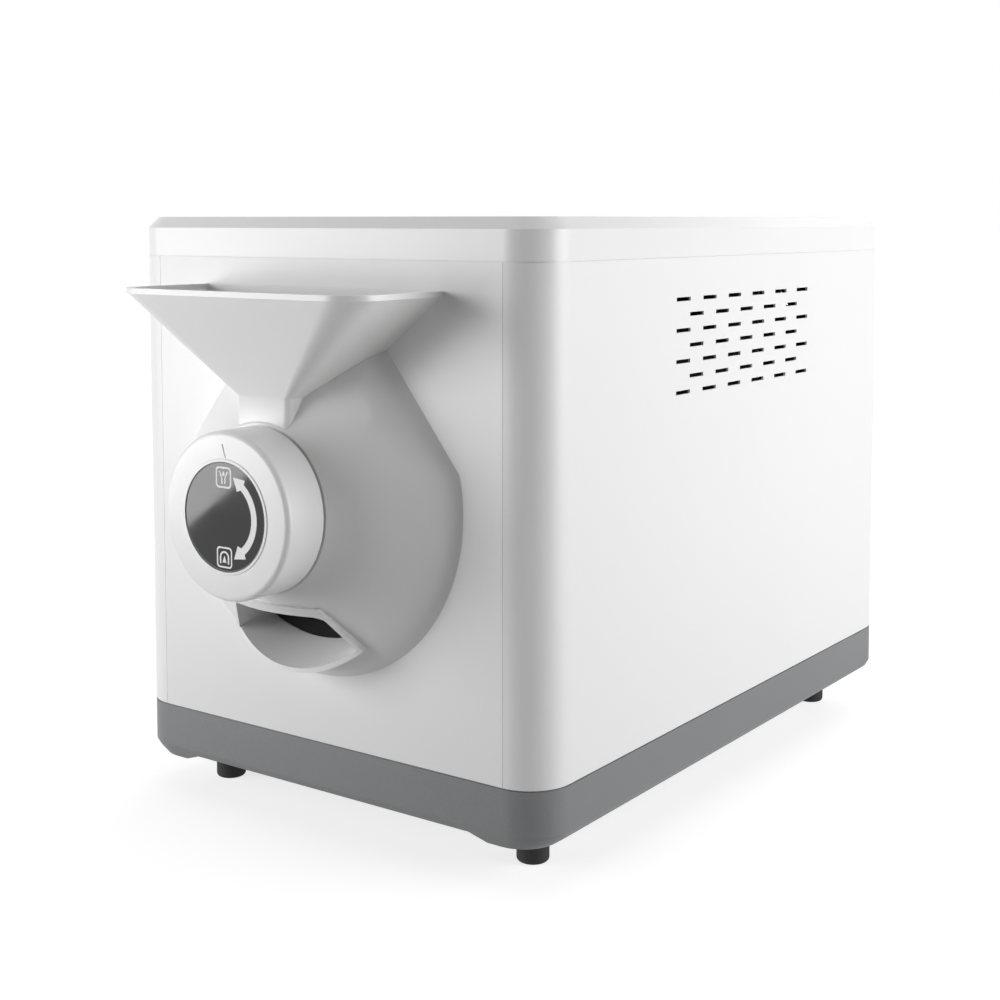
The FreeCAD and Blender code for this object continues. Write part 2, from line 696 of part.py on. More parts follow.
def lip_plan():
    """Upright cylinder whose arc is the lip's rounded front edge seen from above."""
    half_width = (TRAY_RADIUS + TRAY_DROP) * math.sin(math.radians(MOUTH_ANGLE))
    bulge = LIP_REACH - LIP_END_REACH
    radius = (half_width ** 2 + bulge ** 2) / (2 * bulge)
    return rod_z(radius, AXIS_Z - 2 * NOSE_RADIUS, AXIS_Z, 0, ahead(LIP_REACH) + radius)


def mouth_passage():
    """Clear way through the mouth, with rounded upper corners."""
    way = mouth_wedge(CHUTE_WALL, ahead(KNOB_REACH), FRONT).common(below(MOUTH_TOP))
    corners = [e for e in way.Edges if abs(e.Vertexes[0].Z - (AXIS_Z - MOUTH_TOP)) < 0.01
               and abs(e.Vertexes[-1].Z - (AXIS_Z - MOUTH_TOP)) < 0.01
               and abs(e.Vertexes[0].Y - e.Vertexes[-1].Y) > 1]
    return way.makeFillet(MOUTH_CORNER, corners).common(tray_cone(0))


def discharge_chute():
    """Mouth walls, brow and scooped lip, made as one insert that fills the window in the nose."""
    block = mouth_wedge(0, ahead(KNOB_REACH), FRONT).common(below(MOUTH_TOP - BROW_WALL))
    block = block.common(tray_cone(CHUTE_WALL))
    walls = block.cut(mouth_passage())
    brow_low = AXIS_Z - MOUTH_TOP - MOUTH_CORNER
    behind_brow = nose_envelope(-BROW_DEPTH).common(box(-HALF, HALF, ahead(KNOB_REACH), FRONT, brow_low, AXIS_Z))
    fixed = walls.common(mouth_limit()).cut(behind_brow)
    tray = walls.cut(tray_cone(0)).common(lip_plan())
    return fuse([fixed, tray])


def chute_window():
    """The hole in the nose that the chute fills, with a small seat clearance all round."""
    gap = SEAT_GAP
    wedge = mouth_wedge(-gap, ahead(KNOB_REACH), FRONT)
    return wedge.common(below(MOUTH_TOP - BROW_WALL - gap)).common(tray_cone(CHUTE_WALL + gap))


def nose_housing():
    """Conical shell behind the dial, with two flats, a flange on the panel and a bearing hole for the scoop's hub."""
    flange_inner = PANEL_HOLE + FLANGE_OVERLAP
    bore = HUB_RADIUS + RUNNING
    outer = turned([(bore, 0)] + nose_profile(0, 0, NOSE_LENGTH) + [(bore, NOSE_LENGTH)])
    hollow = turned([(bore, NOSE_FLANGE)] + nose_profile(-NOSE_WALL, NOSE_FLANGE, NOSE_INNER) + [(bore, NOSE_INNER)])
    shell = outer.cut([beyond_flat(angle, 0) for angle in FLAT_ANGLES])
    hollow = hollow.cut([beyond_flat(angle, NOSE_WALL) for angle in FLAT_ANGLES])
    shell = shell.cut([hollow, rod_y(flange_inner, ahead(NOSE_FLANGE), FRONT)])
    screw_holes = [screw_hole(x, FRONT + PANEL_WALL, z, V(0, -1, 0), PANEL_WALL + NOSE_FLANGE - HEAD_WALL)
                   for x, z in nose_screw_places()]
    throat = neck_block(HOPPER_WALL, AXIS_Z + HUB_RADIUS + NOSE_FLANGE, AXIS_Z + NECK_HEIGHT + NOSE_RADIUS)
    return shell.cut([chute_window(), throat] + screw_holes)


def nose_solid(offset):
    """The nose as a solid with its flats, grown by the offset."""
    return nose_envelope(offset).cut([beyond_flat(angle, -offset) for angle in FLAT_ANGLES])


def neck_block(inset, z0, z1):
    """Upright prism with the section of the hopper's neck, drawn in by the inset."""
    half = NECK_HALF_WIDTH - inset
    wire = rounded_wire(-half, half, ahead(NECK_REACH - inset), FRONT - inset, z0, NECK_CORNER - inset, 0)
    return prism(wire, z1 - z0)


def hopper_shell_wire(half, reach, back, z, corner):
    return rounded_wire(-half, half, ahead(reach), FRONT - back, AXIS_Z + z, corner, 0)


def feed_hopper():
    """Funnel with flat flaring sides, rounded front corners and an upright rim, open into the nose."""
    lip_z = HOPPER_TOP - HOPPER_RIM
    rise = lip_z - NECK_HEIGHT
    wide = HOPPER_HALF_WIDTH - RIM_STEP
    far = HOPPER_REACH - RIM_STEP
    side_wall = HOPPER_WALL * math.hypot(1, (wide - NECK_HALF_WIDTH) / rise)
    front_wall = HOPPER_WALL * math.hypot(1, (far - NECK_REACH) / rise)
    neck_in = NECK_HALF_WIDTH - HOPPER_WALL
    rim = prism(hopper_shell_wire(HOPPER_HALF_WIDTH, HOPPER_REACH, 0, lip_z, HOPPER_CORNER), HOPPER_RIM)
    funnel = Part.makeLoft([
        hopper_shell_wire(NECK_HALF_WIDTH, NECK_REACH, 0, NECK_HEIGHT, NECK_CORNER),
        hopper_shell_wire(wide, far, 0, lip_z, HOPPER_CORNER - RIM_STEP),
    ], True, True)
    neck = neck_block(0, AXIS_Z + HUB_RADIUS, AXIS_Z + NECK_HEIGHT)
    body = fuse([rim, funnel, neck])
    hollow = Part.makeLoft([
        hopper_shell_wire(neck_in, NECK_REACH - HOPPER_WALL, HOPPER_WALL, NECK_HEIGHT, NECK_CORNER - HOPPER_WALL),
        hopper_shell_wire(wide - side_wall, far - front_wall, HOPPER_WALL, lip_z, HOPPER_CORNER - side_wall),
    ], True, True)
    mouth = prism(
        hopper_shell_wire(wide - side_wall, far - front_wall, HOPPER_WALL, lip_z, HOPPER_CORNER - side_wall), HOPPER_RIM,
    )
    throat = neck_block(HOPPER_WALL, AXIS_Z, AXIS_Z + NECK_HEIGHT)
    holes = [screw_hole(x, FRONT + PANEL_WALL, z, V(0, -1, 0)) for x, z in hopper_screw_places()]
    bosses = [rod_y(SCREW_HEAD + HEAD_ROOM, ahead(SCREW_LENGTH), FRONT - HOPPER_WALL, x, z) for x, z in hopper_screw_places()]
    shell = body.cut([hollow, mouth, throat])
    return fuse([shell] + bosses).cut([nose_solid(SEAT_GAP)] + holes)


def hopper_screw_places():
    z = AXIS_Z + HOPPER_TOP - 4 * HOPPER_RIM
    return [(side * HOPPER_HALF_WIDTH / 2, z) for side in (-1, 1)]


def screws_behind_front_panel():
    nose_length = PANEL_WALL + NOSE_FLANGE - 2 * SCREW_TIP_GAP
    hopper_length = SCREW_LENGTH - SCREW_TIP_GAP
    nose = [screw(x, FRONT + PANEL_WALL, z, V(0, -1, 0), nose_length) for x, z in nose_screw_places()]
    hopper = [screw(x, FRONT + PANEL_WALL, z, V(0, -1, 0), hopper_length) for x, z in hopper_screw_places()]
    return Part.makeCompound(nose + hopper)


# ---- Dial and diverter valve ----
def dial_screw_places():
    return [polar(DIAL_SCREW_CIRCLE, angle) for angle in DIAL_SCREW_ANGLES]


def dial_ring():
    """Hollow round knob: rolled front edge, raised rim round the face, cup and web onto the scoop's hub."""
    spindle_gap = SPINDLE_RADIUS + MOVING_GAP
    under_face = FACE_PLANE - DIAL_WALL
    profile = [
        (spindle_gap, WEB_REAR), (CUP_RADIUS + DIAL_WALL, WEB_REAR), (CUP_RADIUS + DIAL_WALL, under_face - FACE_THICKNESS),
        (RECESS_RADIUS + DIAL_WALL, under_face - FACE_THICKNESS), (RECESS_RADIUS + DIAL_WALL, under_face),
        (DIAL_RADIUS - DIAL_WALL, under_face), (DIAL_RADIUS - DIAL_WALL, KNOB_REAR), (DIAL_RADIUS, KNOB_REAR),
        (DIAL_RADIUS, FACE_PLANE), (RECESS_RADIUS + DIAL_RIM_FOOT, FACE_PLANE), (RECESS_RADIUS + DIAL_RIM_TOP, KNOB_REACH),
        (RECESS_RADIUS, KNOB_REACH), (RECESS_RADIUS, RECESS_FLOOR - MOVING_GAP), (CUP_RADIUS, RECESS_FLOOR - MOVING_GAP),
        (CUP_RADIUS, WEB_FRONT), (spindle_gap, WEB_FRONT),
    ]
    knob = turned(profile)
    rolled = [e for e in knob.Edges if on_circle(e, DIAL_RADIUS, FACE_PLANE)]
    knob = knob.makeFillet(DIAL_EDGE, rolled)
    pointer_low = AXIS_Z + DIAL_RADIUS - POINTER_INSET - POINTER_LENGTH
    pointer = box(
        -POINTER_WIDTH / 2, POINTER_WIDTH / 2, ahead(FACE_PLANE + 1), ahead(FACE_PLANE - POINTER_DEPTH),
        pointer_low, pointer_low + POINTER_LENGTH,
    )
    pointer.rotate(V(0, 0, pointer_low + POINTER_LENGTH / 2), V(0, -1, 0), POINTER_LEAN)
    holes = [screw_hole(x, ahead(WEB_FRONT), z, V(0, 1, 0)) for x, z in dial_screw_places()]
    return knob.cut([pointer] + holes)


def on_circle(edge, radius, distance):
    """True for the circle of this radius about the axis at this distance ahead."""
    point = edge.Vertexes[0].Point
    off = math.hypot(point.x, point.z - AXIS_Z) - radius
    level = [v.Point.y - ahead(distance) for v in edge.Vertexes]
    return abs(off) < 0.01 and max(abs(y) for y in level) < 0.01


def dial_face():
    """Fixed disc inside the ring, with a socket on its back that sits on the spindle."""
    disc = rod_y(FACE_RADIUS, ahead(FACE_PLANE), ahead(RECESS_FLOOR))
    socket = rod_y(SPINDLE_RADIUS + DIAL_WALL, ahead(RECESS_FLOOR), ahead(FACE_SOCKET))
    return fuse([disc, socket]).cut(rod_y(SPINDLE_RADIUS + SEAT_GAP / 2, ahead(SPINDLE_END), ahead(FACE_SOCKET)))


def dial_spindle():
    """Fixed pin on the axis from the spider's hub to the dial's face."""
    return rod_y(SPINDLE_RADIUS, ahead(SPINDLE_END), PLATE_Y)


def front_spider():
    """Three-armed ring on the front frame plate; its hub holds the spindle."""
    y0 = PLATE_Y - SPIDER_THICKNESS
    outer = PANEL_HOLE - 2 * MOVING_GAP
    ring = tube_y(outer, outer - SPIDER_RIM, y0, PLATE_Y)
    hub = rod_y(SPINDLE_RADIUS + SPIDER_ARM, y0, PLATE_Y)
    arms = []
    for angle in SPIDER_ANGLES:
        arm = box(SPINDLE_RADIUS + 1, outer - SPIDER_ARM, y0, PLATE_Y, AXIS_Z - SPIDER_ARM / 2, AXIS_Z + SPIDER_ARM / 2)
        arm.rotate(V(0, 0, AXIS_Z), V(0, -1, 0), angle)
        arms.append(arm)
    return fuse([ring, hub] + arms).cut(rod_y(SPINDLE_RADIUS + SEAT_GAP / 2, y0, PLATE_Y))


def diverter_scoop():
    """Half trough on a front web. Its hub turns in the nose; its open side takes beans in or lets them out."""
    web_back = SCOOP_FRONT - DIAL_WALL
    bore = SPINDLE_RADIUS + RUNNING
    web = turned([
        (bore, web_back - SCOOP_BOSS), (SPINDLE_RADIUS + SPIDER_ARM, web_back - SCOOP_BOSS),
        (SPINDLE_RADIUS + SPIDER_ARM, web_back),
        (SCOOP_RADIUS, web_back), (SCOOP_RADIUS, SCOOP_FRONT), (HUB_RADIUS, SCOOP_FRONT), (HUB_RADIUS, WEB_REAR),
        (HUB_RADIUS - DIAL_WALL, WEB_REAR), (HUB_RADIUS - DIAL_WALL, SCOOP_FRONT),
        (SPINDLE_RADIUS + SPIDER_ARM, SCOOP_FRONT), (SPINDLE_RADIUS + SPIDER_ARM, WEB_REAR), (bore, WEB_REAR),
    ])
    rear = PLATE_Y - SPIDER_THICKNESS - 2 * MOVING_GAP
    trough = tube_y(SCOOP_RADIUS, SCOOP_RADIUS - SCOOP_WALL, ahead(web_back), rear)
    trough = trough.common(box(-HALF, HALF, ahead(web_back), rear, AXIS_Z - HALF, AXIS_Z))
    posts = [rod_y(SCREW_HEAD + HEAD_WALL / 2, ahead(WEB_REAR), ahead(SCOOP_FRONT), x, z) for x, z in dial_screw_places()]
    holes = [screw_hole(x, ahead(WEB_FRONT), z, V(0, 1, 0)) for x, z in dial_screw_places()]
    return fuse([web, trough] + posts).cut(holes)


def dial_screws():
    length = SCREW_LENGTH - SCREW_TIP_GAP
    return Part.makeCompound([screw(x, ahead(WEB_FRONT), z, V(0, 1, 0), length) for x, z in dial_screw_places()])


# ---- Frame plates, drum and chamber ----
def frame_screw_places():
    xs = (-PLATE_HALF + PLATE_MARGIN, PLATE_HALF - PLATE_MARGIN)
    ys = (PLATE_BACK + FOOT_FLANGE / 2, REAR_PLATE - FOOT_FLANGE / 2)
    return [(x, y) for x in xs for y in ys]


def frame_plate(y0, flange_side):
    """Upright steel plate with a bent foot that is screwed to the base tray."""
    sheet = box(-PLATE_HALF, PLATE_HALF, y0, y0 + PLATE, FLOOR_Z, PLATE_TOP)
    foot_y0 = y0 if flange_side > 0 else y0 + PLATE - FOOT_FLANGE - PLATE
    foot = box(-PLATE_HALF, PLATE_HALF, foot_y0, foot_y0 + FOOT_FLANGE + PLATE, FLOOR_Z, FLOOR_Z + PLATE)
    holes = [screw_hole(x, y, FLOOR_Z + PLATE, V(0, 0, -1), PLATE + BASE_WALL) for x, y in frame_screw_places()]
    return fuse([sheet, foot]).cut(holes)


def front_frame_plate():
    heads = [rod_y(SCREW_HEAD + HEAD_ROOM, PLATE_Y, PLATE_BACK, x, z) for x, z in nose_screw_places() + hopper_screw_places()]
    return frame_plate(PLATE_Y, 1).cut([rod_y(COLLAR_RADIUS + 2 * MOVING_GAP, PLATE_Y, PLATE_BACK)] + heads)


def rear_frame_plate():
    cuts = [rod_y(SHAFT_RADIUS + 1, REAR_PLATE, REAR_PLATE_BACK)]
    for angle in HEATER_ANGLES:
        x, z = polar(HEATER_CIRCLE, angle)
        cuts.append(rod_y(BUSH_RADIUS + SEAT_GAP, REAR_PLATE, REAR_PLATE_BACK, x, z))
    x, z = polar(HEATER_CIRCLE, PROBE_ANGLE)
    cuts.append(rod_y(PROBE_RADIUS + SEAT_GAP, REAR_PLATE, REAR_PLATE_BACK, x, z))
    return frame_plate(REAR_PLATE, -1).cut(cuts)


def front_bearing_ring():
    """Flanged ring on the front plate; the drum's collar turns in it."""
    bore = COLLAR_RADIUS + RUNNING
    ring = tube_y(COLLAR_RADIUS + RING_WALL, bore, PLATE_BACK, PLATE_BACK + RING_LENGTH)
    flange = tube_y(COLLAR_RADIUS + RING_FLANGE, bore, PLATE_BACK, PLATE_BACK + RING_FLANGE_THICKNESS)
    heads = [rod_y(SCREW_HEAD + HEAD_ROOM, PLATE_BACK, PLATE_BACK + RING_FLANGE_THICKNESS, x, z) for x, z in nose_screw_places()]
    return fuse([ring, flange]).cut(heads)


def roasting_drum():
    """Spun steel drum: collar, front cone, cylinder and rear disc."""
    slope_wall = DRUM_WALL * math.hypot(1, (DRUM_RADIUS - COLLAR_RADIUS) / DRUM_CONE)
    start = FRONT - (PLATE_Y + COLLAR_INSET)
    inner = DRUM_RADIUS - DRUM_WALL
    shaft_hole = SHAFT_RADIUS + SEAT_GAP / 2
    front_inner = COLLAR_RADIUS - COLLAR_WALL
    profile = [
        (front_inner, start), (COLLAR_RADIUS, start), (COLLAR_RADIUS, FRONT - COLLAR_END),
        (DRUM_RADIUS, FRONT - DRUM_FRONT), (DRUM_RADIUS, FRONT - DRUM_REAR), (shaft_hole, FRONT - DRUM_REAR),
        (shaft_hole, FRONT - DRUM_BACK), (inner, FRONT - DRUM_BACK), (inner, FRONT - DRUM_FRONT - slope_wall / 2),
        (front_inner, FRONT - COLLAR_END - slope_wall / 2),
    ]
    return turned(profile)


def drum_vanes():
    """Helical vanes that lift the beans and carry them to the front when the valve is open."""
    inner = DRUM_RADIUS - DRUM_WALL
    y0 = DRUM_FRONT + VANE_START
    y1 = DRUM_BACK
    stations = 7
    vanes = []
    for index in range(VANE_COUNT):
        sections = []
        for step in range(stations):
            share = step / (stations - 1)
            y = y0 + share * (y1 - y0)
            section = Part.makePolygon([
                V(inner - VANE_HEIGHT, y, AXIS_Z - VANE_THICKNESS / 2), V(inner + 2, y, AXIS_Z - VANE_THICKNESS / 2),
                V(inner + 2, y, AXIS_Z + VANE_THICKNESS / 2), V(inner - VANE_HEIGHT, y, AXIS_Z + VANE_THICKNESS / 2),
                V(inner - VANE_HEIGHT, y, AXIS_Z - VANE_THICKNESS / 2),
            ])
            section.rotate(V(0, 0, AXIS_Z), V(0, 1, 0), 360 * index / VANE_COUNT + share * VANE_TWIST)
            sections.append(section)
        vane = Part.makeLoft(sections, True, False)
        vanes.append(vane.common(rod_y(inner, y0, y1)))
    return Part.makeCompound(vanes)


def drum_hub():
    y1 = DRUM_REAR + DRUM_HUB_LENGTH
    return tube_y(DRUM_HUB_RADIUS, SHAFT_RADIUS + SEAT_GAP / 2, DRUM_REAR, y1)


def drum_shaft():
    return rod_y(SHAFT_RADIUS, DRUM_BACK, COUPLING_MIDDLE)


def chamber_shell():
    return tube_y(CHAMBER_RADIUS + CHAMBER_WALL, CHAMBER_RADIUS, PLATE_BACK, REAR_PLATE)


def insulation_blanket():
    inner = CHAMBER_RADIUS + CHAMBER_WALL
    return tube_y(BLANKET_RADIUS, inner, PLATE_BACK + BLANKET_MARGIN, REAR_PLATE - BLANKET_MARGIN)


def heater_bushes():
    """Ceramic bushes: blind ones on the front plate, and flanged ones through the rear plate."""
    bushes = []
    for angle in HEATER_ANGLES:
        x, z = polar(HEATER_CIRCLE, angle)
        bore = HEATER_RADIUS + SEAT_GAP
        cup = rod_y(BUSH_RADIUS, PLATE_BACK, PLATE_BACK + BUSH_LENGTH, x, z)
        bushes.append(cup.cut(rod_y(bore, PLATE_BACK + BUSH_FLOOR, PLATE_BACK + BUSH_LENGTH, x, z)))
        start, end = REAR_PLATE - BUSH_INNER_LENGTH, REAR_PLATE_BACK + BUSH_LENGTH
        sleeve = rod_y(BUSH_RADIUS, start, end, x, z)
        collar = rod_y(BUSH_RADIUS + BUSH_COLLAR, REAR_PLATE_BACK, REAR_PLATE_BACK + BUSH_COLLAR_THICKNESS, x, z)
        bushes.append(fuse([sleeve, collar]).cut(rod_y(bore, start, end, x, z)))
    return Part.makeCompound(bushes)


def heater_rods():
    rods = []
    for angle in HEATER_ANGLES:
        x, z = polar(HEATER_CIRCLE, angle)
        rods.append(rod_y(HEATER_RADIUS, PLATE_BACK + BUSH_FLOOR, REAR_PLATE_BACK + HEATER_TAIL, x, z))
    return Part.makeCompound(rods)


def temperature_probe():
    """Thin rod into the chamber with a hexagonal gland on the rear plate."""
    x, z = polar(HEATER_CIRCLE, PROBE_ANGLE)
    rod = rod_y(PROBE_RADIUS, REAR_PLATE - PROBE_LENGTH, REAR_PLATE_BACK + BUSH_LENGTH, x, z)
    points = []
    for corner in range(6):
        turn = math.radians(60 * corner)
        points.append(V(x + GLAND_RADIUS * math.cos(turn), REAR_PLATE_BACK, z + GLAND_RADIUS * math.sin(turn)))
    gland = Part.Face(Part.makePolygon(points + points[:1])).extrude(V(0, GLAND_LENGTH, 0))
    return fuse([rod, gland])


# ---- Drive ----
def rear_bearing():
    bore = SHAFT_RADIUS + RUNNING
    barrel = tube_y(BEARING_RADIUS, bore, REAR_PLATE_BACK, BEARING_END)
    flange = tube_y(BEARING_FLANGE, bore, REAR_PLATE_BACK, REAR_PLATE_BACK + BEARING_FLANGE_THICKNESS)
    return fuse([barrel, flange])


def shaft_coupling():
    drum_side = rod_y(SHAFT_RADIUS + SEAT_GAP / 2, COUPLING_Y, COUPLING_MIDDLE + SHAFT_END_GAP / 2)
    motor_side = rod_y(MOTOR_SHAFT_RADIUS + SEAT_GAP / 2, COUPLING_Y, COUPLING_Y + COUPLING_LENGTH)
    return rod_y(COUPLING_RADIUS, COUPLING_Y, COUPLING_Y + COUPLING_LENGTH).cut([drum_side, motor_side])


def gearmotor_shaft():
    return rod_y(MOTOR_SHAFT_RADIUS, COUPLING_MIDDLE + SHAFT_END_GAP, GEARBOX_Y + GEARBOX_LENGTH / 2)


def gearmotor():
    """Gearbox with a front boss, and the motor can behind it."""
    boss = rod_y(GEARBOX_BOSS, MOTOR_PLATE, GEARBOX_Y)
    gearbox = rod_y(GEARBOX_RADIUS, GEARBOX_Y, GEARBOX_Y + GEARBOX_LENGTH)
    can = rod_y(MOTOR_RADIUS, GEARBOX_Y + GEARBOX_LENGTH, GEARBOX_Y + GEARBOX_LENGTH + MOTOR_LENGTH)
    bore = rod_y(MOTOR_SHAFT_RADIUS + RUNNING, MOTOR_PLATE, GEARBOX_Y + GEARBOX_LENGTH / 2 + MOVING_GAP)
    holes = [screw_hole(x, MOTOR_PLATE, z, V(0, 1, 0)) for x, z in motor_screw_places()]
    return fuse([boss, gearbox, can]).cut([bore] + holes)


def motor_screw_places():
    return [polar((GEARBOX_BOSS + GEARBOX_RADIUS) / 2, angle) for angle in (0, 90, 180, 270)]


def post_places():
    return [(sx * POST_OFFSET, AXIS_Z + sz * POST_OFFSET) for sx in (-1, 1) for sz in (-1, 1)]


def motor_plate():
    edge = POST_OFFSET + POST_RADIUS + POST_MARGIN
    sheet = box(-edge, edge, MOTOR_PLATE, GEARBOX_Y, AXIS_Z - edge, AXIS_Z + edge)
    holes = [screw_hole(x, MOTOR_PLATE, z, V(0, 1, 0)) for x, z in motor_screw_places()]
    holes += [screw_hole(x, GEARBOX_Y, z, V(0, -1, 0)) for x, z in post_places()]
    return sheet.cut([rod_y(GEARBOX_BOSS + SEAT_GAP, MOTOR_PLATE, GEARBOX_Y)] + holes)


def motor_posts():
    posts = []
    for x, z in post_places():
        post = rod_y(POST_RADIUS, REAR_PLATE_BACK, MOTOR_PLATE, x, z)
        posts.append(post.cut(screw_hole(x, GEARBOX_Y, z, V(0, -1, 0))))
    return Part.makeCompound(posts)


def motor_screws():
    length = SCREW_LENGTH - SCREW_TIP_GAP
    made = [screw(x, MOTOR_PLATE, z, V(0, 1, 0), length) for x, z in motor_screw_places()]
    made += [screw(x, GEARBOX_Y, z, V(0, -1, 0), length) for x, z in post_places()]
    return Part.makeCompound(made)


# ---- Rear panel ----
def rear_panel_screw_places():
    x = SEAM_X - FLANGE_WIDTH / 2
    levels = (CASE_Z + REAR_SCREW_DROP, (CASE_Z + SEAM_Z) / 2, SEAM_Z - REAR_SCREW_DROP)
    return [(sx * x, z) for sx in (-1, 1) for z in levels]


def fan_screw_places():
    offset = FAN_SIZE / 2 - FAN_SCREW_INSET
    return [(FAN_X + sx * offset, FAN_Z + sz * offset) for sx in (-1, 1) for sz in (-1, 1)]


def rear_panel():
    sheet = box(-SEAM_X + SEAM_GAP / 2, SEAM_X - SEAM_GAP / 2, BACK - PANEL_WALL, BACK, CASE_Z, SEAM_Z)
    cuts = []
    for row in range(GRILLE_ROWS):
        z = FAN_Z + (row - (GRILLE_ROWS - 1) / 2) * GRILLE_PITCH
        half = math.sqrt(max(FAN_BORE ** 2 - (z - FAN_Z) ** 2, GRILLE_PITCH ** 2)) - 1
        cuts.append(box(FAN_X - half, FAN_X + half, BACK - PANEL_WALL, BACK, z - GRILLE_SLOT / 2, z + GRILLE_SLOT / 2))
    for z, width, height in ((INLET_Z, INLET_WIDTH, INLET_TALL), (SWITCH_Z, SWITCH_WIDTH, SWITCH_TALL)):
        gap = 2 * PANEL_CUT_GAP
        cuts.append(centred_box(INLET_X, z, width + gap, height + gap, BACK - PANEL_WALL, BACK))
    cuts += [screw_hole(x, BACK, z, V(0, -1, 0)) for x, z in rear_panel_screw_places() + fan_screw_places()]
    return sheet.cut(cuts)


def centred_box(x, z, width, height, y0, y1):
    return box(x - width / 2, x + width / 2, y0, y1, z - height / 2, z + height / 2)


def rear_screws():
    length = REAR_SCREW_LENGTH
    panel = [screw(x, BACK, z, V(0, -1, 0), length) for x, z in rear_panel_screw_places()]
    fan = [screw(x, BACK, z, V(0, -1, 0), length) for x, z in fan_screw_places()]
    return Part.makeCompound(panel + fan)


def fan_frame():
    """Square fan body with a round duct and a motor seat on four struts."""
    y0 = FAN_BACK - FAN_DEPTH
    frame = centred_box(FAN_X, FAN_Z, FAN_SIZE, FAN_SIZE, y0, FAN_BACK).cut(rod_y(FAN_BORE, y0, FAN_BACK, FAN_X, FAN_Z))
    seat_y = FAN_BACK - FAN_STRUT
    span = 2 * FAN_BORE + 2
    seat = rod_y(FAN_HUB, seat_y, FAN_BACK, FAN_X, FAN_Z)
    struts = [
        centred_box(FAN_X, FAN_Z, span, FAN_STRUT, seat_y, FAN_BACK),
        centred_box(FAN_X, FAN_Z, FAN_STRUT, span, seat_y, FAN_BACK),
    ]
    pin = rod_y(FAN_PIN_RADIUS, y0 + FAN_STRUT, seat_y, FAN_X, FAN_Z)
    holes = [screw_hole(x, BACK, z, V(0, -1, 0), REAR_SCREW_LENGTH) for x, z in fan_screw_places()]
    return fuse([frame, seat, pin] + struts).cut(holes)


def fan_rotor():
    """Hub with pitched blades, running on the frame's pin."""
    y0 = FAN_BACK - FAN_DEPTH + 1
    y1 = FAN_BACK - FAN_STRUT - 2 * MOVING_GAP
    tip = FAN_BORE - BLADE_TIP_GAP
    hub = tube_y(FAN_HUB, FAN_PIN_RADIUS + RUNNING, y0, y1, FAN_X, FAN_Z)
    blades = []
    for index in range(FAN_BLADES):
        low = FAN_Z - BLADE_THICKNESS / 2
        blade = box(FAN_X + FAN_HUB - 1, FAN_X + tip, y0 - FAN_DEPTH, y1 + FAN_DEPTH, low, low + BLADE_THICKNESS)
        blade.rotate(V(FAN_X, (y0 + y1) / 2, FAN_Z), V(1, 0, 0), BLADE_PITCH)
        blade.rotate(V(FAN_X, 0, FAN_Z), V(0, 1, 0), 360 * index / FAN_BLADES)
        blades.append(blade)
    sweep = tube_y(tip, FAN_HUB - 1, y0 + MOVING_GAP, y1 - MOVING_GAP, FAN_X, FAN_Z)
    return fuse([hub] + [blade.common(sweep) for blade in blades])


def power_inlet():
    """Recessed mains inlet with a flange on the rear panel."""
    body = centred_box(INLET_X, INLET_Z, INLET_WIDTH, INLET_TALL, BACK - INLET_DEPTH, BACK)
    flange = centred_box(
        INLET_X, INLET_Z, INLET_WIDTH + 2 * INLET_FLANGE, INLET_TALL + 2 * INLET_FLANGE, BACK, BACK + REAR_PROUD,
    )
    socket = centred_box(
        INLET_X, INLET_Z, INLET_WIDTH - 2 * INLET_WALL, INLET_TALL - 2 * INLET_WALL,
        BACK - INLET_DEPTH + INLET_FLOOR, BACK + REAR_PROUD,
    )
    corners = [e for e in socket.Edges if abs(e.Vertexes[0].Y - e.Vertexes[-1].Y) > 1 and e.Vertexes[0].Z > INLET_Z]
    return fuse([body, flange]).cut([socket.makeChamfer(INLET_CHAMFER, corners)] + inlet_pin_set(SEAT_GAP / 2))


def inlet_pin_set(grow):
    """Three contact pins, grown all round for the holes that they sit in."""
    pins = []
    width, height = PIN_WIDTH + 2 * grow, PIN_TALL + 2 * grow
    for dx, dz in ((-PIN_SPREAD, -PIN_RISE / 2), (0, PIN_RISE / 2), (PIN_SPREAD, -PIN_RISE / 2)):
        pins.append(centred_box(
            INLET_X + dx, INLET_Z + dz, width, height, BACK - INLET_DEPTH - PIN_TAIL, BACK - PIN_SET_BACK,
        ))
    return pins


def inlet_pins():
    return Part.makeCompound(inlet_pin_set(0))


def switch_frame():
    """Snap-in frame with a flange on the rear panel, open to the back for the rocker."""
    wide, tall = SWITCH_WIDTH + 2 * SWITCH_FLANGE, SWITCH_TALL + 2 * SWITCH_FLANGE
    body = centred_box(INLET_X, SWITCH_Z, SWITCH_WIDTH, SWITCH_TALL, BACK - SWITCH_DEPTH, BACK)
    flange = centred_box(INLET_X, SWITCH_Z, wide, tall, BACK, BACK + SWITCH_PROUD)
    opening = centred_box(
        INLET_X, SWITCH_Z, SWITCH_WIDTH - 2 * SWITCH_WALL, SWITCH_TALL - 2 * SWITCH_WALL,
        BACK - SWITCH_DEPTH + SWITCH_FLOOR, BACK + SWITCH_PROUD,
    )
    return fuse([body, flange]).cut(opening)


